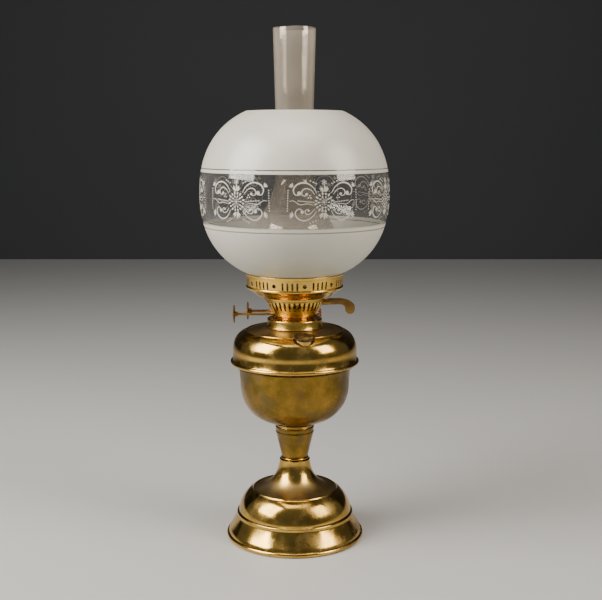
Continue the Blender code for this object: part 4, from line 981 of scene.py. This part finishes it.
def milled_disc(name, radius, thickness, notches, depth, finish):
    """A thin disc whose edge is milled with fine round notches."""
    steps = notches * 6
    half = thickness / 2
    rows = []
    sunk = half - 0.15 * MM
    rows += [(0.0, sunk), (0.42, sunk), (0.5, half), (0.93, half), (1.0, half * 0.55)]
    rows += [(share, -z) for share, z in reversed(rows)]
    vertices, faces, rings = [], [], []
    for share, z in rows:
        if share == 0.0:
            rings.append([len(vertices)] * steps)
            vertices.append((0.0, 0.0, z))
            continue
        rings.append(list(range(len(vertices), len(vertices) + steps)))
        for k in range(steps):
            dip = depth * (0.5 - 0.5 * math.cos(math.tau * k / 6)) if share > 0.99 else 0.0
            r = radius * share - dip
            turn = math.tau * k / steps
            vertices.append((r * math.cos(turn), r * math.sin(turn), z))
    for upper, lower in zip(rings, rings[1:]):
        for k in range(steps):
            after = (k + 1) % steps
            face = tuple(dict.fromkeys((upper[k], lower[k], lower[after], upper[after])))
            faces.append(face)
    return softened(piece(name, vertices, faces, finish))


class LAMP_OT_winders(bpy.types.Operator):
    """Wick winders: spindles, milled knobs with their hubs, and the red end stops"""

    bl_idname = "lamp.winders"
    bl_label = "Wick Winders"

    def execute(self, context):
        finish = finishes()
        for side in ("front", "rear"):
            body = f"winder_{side}"
            low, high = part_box(f"winder_knob_{side}")
            y, z = (low.y + high.y) / 2, (low.z + high.z) / 2
            disc_x = low.x + 0.7 * MM
            disc = milled_disc(f"winder_disc_{side}", 9.5 * MM, 1.4 * MM, 44, 0.28 * MM, finish["old"])
            along_x(disc, disc_x, y, z)
            hub = [(1.7, 0.65), (3.0, 0.65), (3.0, 1.2), (2.5, 1.7), (2.5, 3.3), (2.1, 4.3), (1.7, 4.3)]
            profile = [(r * MM, h * MM) for r, h in reversed(hub)]
            hub = turned(f"winder_hub_{side}", profile, finish["old"], SMALL_STEPS)
            along_x(hub, disc_x, y, z)
            ends = [(0.0, -0.65), (2.2, -0.65), (2.2, -1.0), (1.9, -1.5), (1.2, -1.8), (0.0, -1.9)]
            nub = turned(f"winder_nub_{side}", [(r * MM, h * MM) for r, h in ends], finish["old"], 32)
            along_x(nub, disc_x, y, z)
            knob = joined(f"winder_knob_and_hub_{side}", [disc, hub, nub])
            fitted(knob, body, "old_brass", f"winder_knob_{side}")

            low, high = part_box(f"winder_spindle_{side}")
            length = high.x - low.x
            ends = [(0.0, length), (1.1 * MM, length), (1.3 * MM, length - 0.2 * MM)]
            ends += [(1.3 * MM, 0.2 * MM), (1.1 * MM, 0.0), (0.0, 0.0)]
            rod = turned(f"winder_rod_{side}", ends, finish["old"], 32)
            fitted(along_x(rod, low.x, y, z), body, "old_brass", f"winder_spindle_{side}")

            low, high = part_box(f"winder_stop_{side}")
            length, radius = high.x - low.x, (high.y - low.y) / 2
            ends = [(0.0, length)] + arc((radius - 0.8 * MM, length - 0.8 * MM), 0.8 * MM, 90, 0, 6)
            ends += [(radius, 0.2 * MM), (radius - 0.2 * MM, 0.0), (0.0, 0.0)]
            stop = turned(f"winder_end_{side}", ends, finish["copper"], 32)
            fitted(along_x(stop, low.x, y, z), body, "copper", f"winder_stop_{side}")
        return {"FINISHED"}


def outline_of_lever(pivot_x, pivot_z, tip_x, tip_z):
    """Side view of the extinguisher's lever: a tip, a straight strip, and a drooping round end."""

    def at(x, z):
        return (pivot_x + x * MM, pivot_z + z * MM)

    lobe = arc(at(33.4, -7.0), 5.2 * MM, 186, 382, 22)
    lower = [(tip_x, tip_z - 2.0 * MM)]
    lower += bow(at(-2.3, -2.3), at(3.0, -2.4), at(9.5, -2.1), 8)
    lower += bow(at(16.0, -1.9), at(26.8, -0.6), at(28.1, -5.6), 14)
    upper = bow(at(38.7, -4.2), at(35.6, 4.2), at(22.0, 4.9), 18)
    upper += bow(at(11.0, 4.9), at(7.0, 3.6), at(0.0, 2.3), 8)
    upper += [(tip_x + 2.0 * MM, tip_z), (tip_x, tip_z)]
    return lower + lobe + upper


class LAMP_OT_extinguisher(bpy.types.Operator):
    """Extinguisher lever: a stamped strip with a round thumb end"""

    bl_idname = "lamp.extinguisher"
    bl_label = "Extinguisher Lever"

    def execute(self, context):
        finish = finishes()
        low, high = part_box("extinguisher_lever")
        pin_low, pin_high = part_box("lever_pin")
        pivot = (pin_low + pin_high) / 2
        outline = no_repeats(outline_of_lever(pivot.x, pivot.z, low.x, high.z))
        mesh = bmesh.new()
        corners = [mesh.verts.new((x, 0.0, z)) for x, z in outline]
        face = mesh.faces.new(corners)
        moved = bmesh.ops.extrude_face_region(mesh, geom=[face])
        tops = [v for v in moved["geom"] if isinstance(v, bmesh.types.BMVert)]
        bmesh.ops.translate(mesh, verts=tops, vec=(0.0, high.y - low.y, 0.0))
        bmesh.ops.recalc_face_normals(mesh, faces=mesh.faces)
        bmesh.ops.translate(mesh, verts=mesh.verts, vec=(0.0, low.y, 0.0))
        data = bpy.data.meshes.new("lever_strip")
        mesh.to_mesh(data)
        mesh.free()
        lever = bpy.data.objects.new("lever_strip", data)
        context.scene.collection.objects.link(lever)
        data.materials.append(finish["old"])
        edge = lever.modifiers.new("edge", "BEVEL")
        edge.width = 0.3 * MM
        edge.segments = 2
        edge.limit_method = "ANGLE"
        edge.angle_limit = math.radians(60)
        softened(settled(lever))
        fitted(lever, "extinguisher", "old_brass", "extinguisher_lever")
        return {"FINISHED"}


class LAMP_OT_wicks(bpy.types.Operator):
    """Two flat woven wicks, charred at the top"""

    bl_idname = "lamp.wicks"
    bl_label = "Wicks"

    def execute(self, context):
        for side in ("front", "rear"):
            low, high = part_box(f"wick_{side}")
            middle = (low.y + high.y) / 2
            half_w, half_t = (high.x - low.x) / 2, (high.y - low.y) / 2
            rows, columns = 90, 40
            vertices, faces = [], []
            around = [(k / columns * 2 - 1, -1.0) for k in range(columns + 1)]
            around += [(1 - k / columns * 2, 1.0) for k in range(columns + 1)]
            for i in range(rows + 1):
                z = low.z + (high.z - low.z) * i / rows
                for across, face_side in around:
                    round_edge = math.sqrt(max(0.0, 1 - abs(across) ** 14)) * 0.75 + 0.25
                    rib = 0.90 + 0.10 * math.cos(across * half_w / (1.25 * MM) * math.tau)
                    fray = 0.25 * MM * math.sin(across * 41.0 + face_side) if i == rows else 0.0
                    y = middle + face_side * half_t * round_edge * rib
                    vertices.append((across * half_w, y, z - abs(fray)))
            count = len(around)
            for i in range(rows):
                for k in range(count):
                    after = (k + 1) % count
                    a, b = i * count, (i + 1) * count
                    faces.append((a + k, a + after, b + after, b + k))
            faces.append(tuple(reversed(range(count))))
            faces.append(tuple(rows * count + k for k in range(count)))
            wick = piece(f"cotton_wick_{side}", vertices, faces, finishes()["wick"])
            softened(wick, math.radians(60))
            fitted(wick, f"wick_{side}", "cotton", f"wick_{side}")
        return {"FINISHED"}


# ---- Gallery ---------------------------------------------------------------------------------
class LAMP_OT_gallery(bpy.types.Operator):
    """Gallery: pierced upright wall, ledge under the globe, slotted floor and skirt"""

    bl_idname = "lamp.gallery"
    bl_label = "Gallery"

    def execute(self, context):
        s = context.scene.lamp_burner
        finish = finishes()
        low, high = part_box("gallery")
        ledge_z = 275.4 * MM
        floor_z = low.z + 4.5 * MM
        wide = high.x
        profile = [(wide - 0.9 * MM, high.z - 0.3 * MM)]
        profile += arc((wide - 0.6 * MM, high.z - 0.6 * MM), 0.6 * MM, 90, -50, 8)
        profile += [(wide - 0.7 * MM, high.z - 2.2 * MM)]
        wall_foot = (51.0 * MM, ledge_z + 3.1 * MM)
        profile += bow((wide - 0.7 * MM, high.z - 2.4 * MM), (51.6 * MM, 283 * MM), wall_foot, 6)
        profile += arc((50.7 * MM, ledge_z + 1.4 * MM), 1.4 * MM, 60, -50, 10)
        ledge_in = (46.4 * MM, ledge_z - 2.4 * MM)
        profile += bow((51.0 * MM, ledge_z), (49.4 * MM, ledge_z - 1.6 * MM), ledge_in, 6)
        dish = (40.0 * MM, floor_z + 0.4 * MM)
        profile += bow((46.0 * MM, ledge_z - 2.7 * MM), dish, (36.5 * MM, floor_z), 10)
        profile += bow((33.6 * MM, floor_z), (32.9 * MM, floor_z), (32.9 * MM, floor_z - 0.8 * MM), 4)
        profile += [(32.9 * MM, low.z + 1.9 * MM)]
        gallery = spun_sheet("gallery_ring", profile, finish["gold"], THIN_SHEET, 240)
        first = math.radians(-78)
        wall = {"Groups": s.groups, "Radius": 52.0 * MM, "Height": 282.6 * MM, "Depth": 9.0 * MM}
        pierced(gallery, True, First_Turn=first, Width=s.hole_width, Length=s.hole_width, **wall)
        wall.update(In_Group=4, First_Turn=first + math.radians(10.4), Turn_In_Group=math.radians(5.67))
        pierced(gallery, True, Width=s.bar_slot_width, Length=s.bar_slot_length, **wall)
        floor = {"Groups": 16, "First_Turn": math.pi / 16, "Radius": 41.2 * MM, "Height": floor_z}
        pierced(gallery, False, Width=3.0 * MM, Length=5.2 * MM, Depth=16.0 * MM, **floor)
        softened(gallery)
        fitted(gallery, "gallery", "polished_brass", "gallery")
        return {"FINISHED"}


# ---- Glass -----------------------------------------------------------------------------------
class LAMP_OT_chimney(bpy.types.Operator):
    """Chimney: a straight foot, a bulge round the flames and a long neck with a melted rim"""

    bl_idname = "lamp.chimney"
    bl_label = "Chimney"

    def execute(self, context):
        s = context.scene.lamp_glass
        low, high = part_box("chimney")
        length = high.z - low.z
        heights = [low.z + length * k / 150 for k in range(151)]
        foot = 12.5 * MM
        heights += [low.z + foot - 0.05 * MM, low.z + foot + 1.2 * MM]
        glass = finishes()["chimney"]
        chimney = strip("chimney_glass", sorted(heights, reverse=True), glass, 128)
        sizes = {"Foot_Height": low.z, "Foot_Radius": 31.5 * MM, "Foot_Length": foot}
        sizes.update(Neck_Radius=19.5 * MM, Swell=s.bulge, Bulge_Height=48.0 * MM)
        sizes.update(Upper_Spread=38.0 * MM, Lower_Spread=41.4 * MM, Bulge_Power=2.2)
        sizes.update(Neck_Height=166.0 * MM, Flare=2.7 * MM, Length=length, Rim_Wave=0.35 * MM)
        chimney_tree().worked_on(chimney, glass, **sizes)
        wall_inside(chimney, s.chimney_wall)
        fitted(chimney, "chimney", "smoked_glass", "chimney")
        return {"FINISHED"}


def wall_inside(made, thickness):
    shell = made.modifiers.new("wall", "SOLIDIFY")
    shell.thickness = thickness
    shell.offset = -1.0
    shell.use_even_offset = True
    return softened(settled(made))


def globe_sizes(settings):
    """The rule of the globe's shape, from the frame and the settings."""
    return {
        "Radius": settings.globe_radius,
        "Centre_Height": 375.8 * MM,
        "Upper_Height": 94.5 * MM,
        "Lower_Height": 93.5 * MM,
        "Squareness": SQUARENESS,
        "Fitter_Radius": 49.7 * MM,
    }


class LAMP_OT_globe(bpy.types.Operator):
    """Globe: frosted above and below a clear band, with thin lines round the band's edges"""

    bl_idname = "lamp.globe"
    bl_label = "Globe"

    def execute(self, context):
        s = context.scene.lamp_glass
        finish = finishes()
        low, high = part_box("globe")
        line, stripe = 1.1 * MM, 3.2 * MM
        edges = [s.band_top + stripe + line, s.band_top + stripe, s.band_top]
        edges += [s.band_bottom, s.band_bottom - stripe, s.band_bottom - stripe - line]
        heights = [low.z + (high.z - low.z) * k / 110 for k in range(111)]
        clear_of = [z for z in heights if min(abs(z - e) for e in edges) > 0.5 * MM]
        globe = strip("globe_shade", sorted(clear_of + edges, reverse=True), finish["frost"], FINE_STEPS)
        globe.data.materials.append(finish["clear"])
        top_line, stripe_top, clear_top, clear_low, stripe_low, low_line = edges
        fitter_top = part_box("gallery")[1].z - 2 * MM
        for face in globe.data.polygons:
            z = face.center.z
            see_through = clear_low < z < clear_top or stripe_top < z < top_line or low_line < z < stripe_low
            see_through = see_through or z < fitter_top
            face.material_index = 1 if see_through else 0
        globe_wall_tree().worked_on(globe, finish["frost"], Proud=0.0, **globe_sizes(s))
        wall_inside(globe, s.globe_wall)
        fitted(globe, "globe", "frosted_glass", "globe")
        return {"FINISHED"}


class Sprig:
    """A flat ornament of strokes, dots and leaves, each a thin closed plate, in millimetres."""

    def __init__(self, thick):
        self.vertices = []
        self.faces = []
        self.thick = thick

    def plate(self, left, right):
        """A closed plate between two lines of the same number of points."""
        start = len(self.vertices)
        count = len(left)
        for level in (0.0, self.thick):
            for x, z in [*left, *right]:
                self.vertices.append((x, level, z))
        top = start + 2 * count
        for k in range(count - 1):
            a, b = start + k, start + count + k
            self.faces.append((a, b, b + 1, a + 1))
            c, d = top + k, top + count + k
            self.faces.append((c, c + 1, d + 1, d))
            self.faces.append((a, a + 1, c + 1, c))
            self.faces.append((b + 1, b, d, d + 1))
        self.faces.append((start, top, top + count, start + count))
        last = count - 1
        self.faces.append((start + last, start + count + last, top + count + last, top + last))

    def stroke(self, points, widths, mirror=True):
        """A curved stroke through the points, whose width swells and thins."""
        line = smooth_line(points, 7)
        share = [k / (len(line) - 1) for k in range(len(line))]
        left, right = [], []
        for k, (x, z) in enumerate(line):
            before, after = line[max(0, k - 1)], line[min(len(line) - 1, k + 1)]
            dx, dz = after[0] - before[0], after[1] - before[1]
            size = math.hypot(dx, dz)
            half = value_along(widths, share[k]) / 2
            left.append((x - dz / size * half, z + dx / size * half))
            right.append((x + dz / size * half, z - dx / size * half))
        self.plate(left, right)
        if mirror:
            self.plate([(-x, z) for x, z in right], [(-x, z) for x, z in left])

    def dot(self, x, z, radius, mirror=True):
        steps = 4
        upper, lower = [], []
        for k in range(steps + 1):
            turn = math.pi * (0.02 + 0.96 * k / steps)
            upper.append((x - radius * math.cos(turn), z + radius * math.sin(turn)))
            lower.append((x - radius * math.cos(turn), z - radius * math.sin(turn)))
        self.plate(upper, lower)
        if mirror and abs(x) > radius:
            self.dot(-x, z, radius, mirror=False)

    def leaf(self, x, z, angle, length, width, mirror=True):
        steps = 5
        turn = math.radians(angle)
        c, s = math.cos(turn), math.sin(turn)
        upper, lower = [], []
        for k in range(steps + 1):
            t = k / steps
            half = width / 2 * math.sin(math.pi * (0.04 + 0.92 * t)) ** 0.8
            along = length * t
            upper.append((x + c * along - s * half, z + s * along + c * half))
            lower.append((x + c * along + s * half, z + s * along - c * half))
        self.plate(upper, lower)
        if mirror:
            self.leaf(-x, z, 180 - angle, length, width, mirror=False)

    def string(self, start, end, count, radius, mirror=True):
        """A row of dots."""
        for k in range(count):
            t = k / (count - 1)
            self.dot(start[0] + (end[0] - start[0]) * t, start[1] + (end[1] - start[1]) * t, radius, mirror)


def smooth_line(points, per_span):
    """A smooth line through the points."""
    ends = [points[0], *points, points[-1]]
    line = []
    for a, b, c, d in zip(ends, ends[1:], ends[2:], ends[3:]):
        for k in range(per_span):
            t = k / per_span
            shares = (-t + 2 * t**2 - t**3, 2 - 5 * t**2 + 3 * t**3, t + 4 * t**2 - 3 * t**3, t**3 - t**2)
            line.append(tuple(sum(w * x for w, x in zip(shares, xs)) / 2 for xs in zip(a, b, c, d)))
    line.append(points[-1])
    return line


def value_along(values, share):
    """A value read along a row of evenly spaced ones."""
    place = share * (len(values) - 1)
    k = min(int(place), len(values) - 2)
    return values[k] + (values[k + 1] - values[k]) * (place - k)


def draw_sprig(sprig):
    """The ornament: an open flower between scrolls, with strings of dots and small leaves."""
    # open flower
    sprig.dot(0.0, 0.0, 1.1)
    for k in range(8):
        turn = math.tau * k / 8
        sprig.dot(2.5 * math.sin(turn), 2.5 * math.cos(turn), 0.55, mirror=False)
    for ring, petals, length, width in ((3.9, 10, 3.0, 1.5), (6.9, 16, 3.4, 1.7)):
        for k in range(petals):
            turn = math.tau * (k + 0.5) / petals
            x, z = ring * math.sin(turn), ring * math.cos(turn)
            sprig.leaf(x, z, 90 - math.degrees(turn), length * (1.0 if k % 2 else 0.8), width, mirror=False)
    # leaves over and under the flower
    for angle, length in ((90, 6.5), (62, 6.0), (40, 5.2)):
        sprig.leaf(0.6, 10.2, angle, length, 1.9, mirror=angle != 90)
        sprig.leaf(0.6, -10.2, -angle, length, 1.9, mirror=angle != 90)
    sprig.dot(0.0, 19.2, 1.1)
    for turn in range(0, 360, 60):
        a = math.radians(turn)
        sprig.dot(2.1 * math.sin(a), 19.2 + 2.1 * math.cos(a), 0.6, mirror=False)
    # upper scroll that curls over and ends in a heavy drop
    upper = [(7.5, 9.0), (11.5, 15.0), (18.5, 18.8), (26.0, 17.6), (30.2, 12.6), (28.6, 7.6), (24.6, 7.2)]
    sprig.stroke(upper, [0.5, 0.8, 1.2, 1.4, 1.2, 0.9, 0.8])
    sprig.dot(24.6, 8.8, 2.0)
    inner = [(9.5, 7.6), (13.0, 11.8), (18.0, 13.4), (21.8, 11.2), (21.6, 7.2), (18.0, 6.2)]
    sprig.stroke(inner, [0.4, 0.7, 0.95, 0.95, 0.8, 0.6])
    sprig.dot(17.4, 8.0, 1.4)
    for x, z in ((14.2, 6.6), (13.2, 4.4), (15.6, 4.6)):
        sprig.dot(x, z, 0.7)
    # middle string and tendril
    sprig.string((10.6, 0.2), (25.5, 1.6), 9, 0.62)
    tendril = [(10.4, -2.6), (17.0, -1.2), (24.0, -2.0), (30.0, 1.6), (34.0, 1.2)]
    sprig.stroke(tendril, [0.35, 0.55, 0.65, 0.55, 0.4])
    # lower scrolls
    lower = [(7.5, -8.6), (12.5, -14.6), (19.5, -17.6), (26.0, -15.2), (28.4, -10.0)]
    lower += [(25.2, -6.2), (21.6, -7.6)]
    sprig.stroke(lower, [0.5, 0.8, 1.2, 1.3, 1.0, 0.8, 0.7])
    sprig.dot(21.6, -9.2, 1.7)
    inner = [(9.6, -6.4), (13.4, -10.6), (17.6, -11.2), (18.8, -8.2), (16.2, -6.4)]
    sprig.stroke(inner, [0.4, 0.7, 0.9, 0.8, 0.6])
    sprig.dot(15.4, -7.8, 1.1)
    # sprays and strings of dots at the outer edges
    for angle in (70, 35, 0, -35):
        sprig.leaf(30.4, -12.8, angle, 4.2, 1.4)
    for angle in (80, 45, 10):
        sprig.leaf(30.8, 15.0, angle, 4.0, 1.4)
    sprig.string((35.4, 11.5), (36.0, -8.0), 9, 0.6)
    sprig.string((8.0, 18.2), (13.5, 20.6), 3, 0.7)
    sprig.string((8.0, -17.6), (13.5, -20.2), 3, 0.7)


class LAMP_OT_etching(bpy.types.Operator):
    """Etched ornament on the clear band: one sprig, repeated round the globe"""

    bl_idname = "lamp.etching"
    bl_label = "Etching"

    def execute(self, context):
        s = context.scene.lamp_glass
        finish = finishes()
        sprig = Sprig(0.16)
        draw_sprig(sprig)
        middle = (s.band_top + s.band_bottom) / 2
        radius = s.globe_radius / MM
        vertices = [(x / radius, thick * MM, middle + z * MM) for x, thick, z in sprig.vertices]
        flat = piece("globe_etching", vertices, sprig.faces, finish["etch"])
        sizes = globe_sizes(s)
        sizes.update(Proud=-0.08 * MM, Repeats=s.repeats, First_Turn=math.radians(17))
        etching_tree().worked_on(flat, finish["etch"], **sizes)
        data = bmesh.new()
        data.from_mesh(flat.data)
        bmesh.ops.recalc_face_normals(data, faces=data.faces)
        data.to_mesh(flat.data)
        data.free()
        softened(flat)
        fitted(flat, "globe", "frosted_glass")
        return {"FINISHED"}


# ---- Parts that keep the frame's own shape ---------------------------------------------------
class LAMP_OT_inner_parts(bpy.types.Operator):
    """Finishes of the pieces that keep the shape they have in the frame"""

    bl_idname = "lamp.inner_parts"
    bl_label = "Inner Parts"

    def execute(self, context):
        finish = finishes()
        groups = {
            "iron": "foot_ballast",
            "steel": "tie_rod tie_washer_lower tie_nut_lower tie_washer_upper tie_nut_upper lever_pin",
            "leather": "burner_gasket",
            "burner": "burner_nipple burner_floor air_diffuser wick_tube_front wick_tube_rear "
            "lever_bracket_front lever_bracket_rear snuffer_front snuffer_rear snuffer_bridge "
            "flame_dome seat_plate chimney_seat "
            "chimney_prong_1 chimney_prong_2 chimney_prong_3 chimney_prong_4",
            "old": "winder_wheel_front_1 winder_wheel_front_2 winder_wheel_rear_1 winder_wheel_rear_2",
        }
        for label, names in groups.items():
            for name in names.split():
                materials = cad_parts[name].data.materials
                materials.clear()
                materials.append(finish[label])
        return {"FINISHED"}


# ---- Stage -----------------------------------------------------------------------------------
def aimed(made, place, target):
    made.location = place
    made.rotation_mode = "QUATERNION"
    made.rotation_quaternion = (Vector(target) - Vector(place)).to_track_quat("-Z", "Y")
    return made


def soft_box(name, turn, rise, distance, width, height, watts, colour):
    """A soft box at a turn from the front, in degrees, to the right, and a rise over the horizon."""
    target = Vector((0.0, 0.0, 0.26))
    a, e = math.radians(turn), math.radians(rise)
    way = Vector((math.sin(a) * math.cos(e), -math.cos(a) * math.cos(e), math.sin(e)))
    light = bpy.data.lights.new(name, "AREA")
    light.shape = "RECTANGLE"
    light.size = width
    light.size_y = height
    light.energy = watts
    light.color = colour
    made = bpy.data.objects.new(name, light)
    bpy.context.scene.collection.objects.link(made)
    return aimed(made, target + way * distance, target)


class LAMP_OT_stage(bpy.types.Operator):
    """Pale floor, grey backdrop, two soft boxes and the camera"""

    bl_idname = "lamp.stage"
    bl_label = "Stage"

    def execute(self, context):
        s = context.scene.lamp_stage
        floor = Recipe("Pale floor", tuple(s.floor), 0.55)
        floor.colour(floor.blend(floor.cloud(3.0), tuple(s.floor), tuple(c * 0.96 for c in s.floor)))
        wall = Recipe("Grey backdrop", tuple(s.backdrop), 0.9)
        wall.colour(wall.blend(wall.cloud(1.2), tuple(s.backdrop), tuple(c * 0.85 for c in s.backdrop)))
        ground = [(-5.0, -4.0, 0.0), (5.0, -4.0, 0.0), (5.0, 2.6, 0.0), (-5.0, 2.6, 0.0)]
        ground = piece("floor", ground, [(0, 1, 2, 3)], floor.material)
        back = [(-5.0, 2.6, 0.0), (5.0, 2.6, 0.0), (5.0, 2.6, 4.0), (-5.0, 2.6, 4.0)]
        back = piece("backdrop", back, [(0, 1, 2, 3)], wall.material)

        soft_box("soft_box_left", -66, 34, 1.5, 0.95, 1.15, s.left_box, (1.0, 0.97, 0.92))
        soft_box("soft_box_right", 64, 30, 1.6, 0.70, 1.0, s.right_box, (1.0, 0.93, 0.84))
        soft_box("soft_box_above", 10, 78, 1.9, 1.3, 0.9, s.fill, (1.0, 0.98, 0.95))
        world = bpy.data.worlds.new("Studio")
        world.use_nodes = True
        air = world.node_tree.nodes["Background"]
        air.inputs["Color"].default_value = (0.62, 0.66, 0.72, 1.0)
        air.inputs["Strength"].default_value = 0.16
        context.scene.world = world

        camera = bpy.data.cameras.new("camera")
        camera.sensor_width = 36.0
        camera.lens = 61.27
        made = bpy.data.objects.new("camera", camera)
        context.scene.collection.objects.link(made)
        made.location = (6.8 * MM, -1087 * MM, 433 * MM)
        made.rotation_euler = (math.radians(90 - 8.976), 0.0, 0.0)
        context.scene.camera = made
        return {"FINISHED"}


# ---- Panel -----------------------------------------------------------------------------------
STEPS = (
    LAMP_OT_stage,
    LAMP_OT_foot,
    LAMP_OT_stem,
    LAMP_OT_font,
    LAMP_OT_filler,
    LAMP_OT_burner,
    LAMP_OT_winders,
    LAMP_OT_extinguisher,
    LAMP_OT_wicks,
    LAMP_OT_gallery,
    LAMP_OT_chimney,
    LAMP_OT_globe,
    LAMP_OT_etching,
    LAMP_OT_inner_parts,
)


class LAMP_PT_panel(bpy.types.Panel):
    """Buttons for every piece of the lamp"""

    bl_label = "Duplex Oil Lamp"
    bl_idname = "LAMP_PT_panel"
    bl_space_type = "VIEW_3D"
    bl_region_type = "UI"
    bl_category = "Oil Lamp"

    def draw(self, context):
        for step in STEPS:
            self.layout.operator(step.bl_idname)
        for group in ("lamp_finishes", "lamp_foot", "lamp_font", "lamp_burner", "lamp_glass", "lamp_stage"):
            box = self.layout.box()
            settings = getattr(context.scene, group)
            for key in settings.__annotations__:
                box.prop(settings, key)


SETTINGS = {
    "lamp_finishes": LampFinishes,
    "lamp_foot": FootSizes,
    "lamp_font": FontSizes,
    "lamp_burner": BurnerSizes,
    "lamp_glass": GlassSizes,
    "lamp_stage": StageSizes,
}
CLASSES = (*SETTINGS.values(), *STEPS, LAMP_PT_panel)


def register():
    for made in CLASSES:
        bpy.utils.register_class(made)
    for key, group in SETTINGS.items():
        setattr(bpy.types.Scene, key, PointerProperty(type=group))


def unregister():
    for key in SETTINGS:
        delattr(bpy.types.Scene, key)
    for made in reversed(CLASSES):
        bpy.utils.unregister_class(made)


def main():
    register()
    for step in STEPS:
        family, name = step.bl_idname.split(".")
        getattr(getattr(bpy.ops, family), name)()


if __name__ == "__main__":
    main()
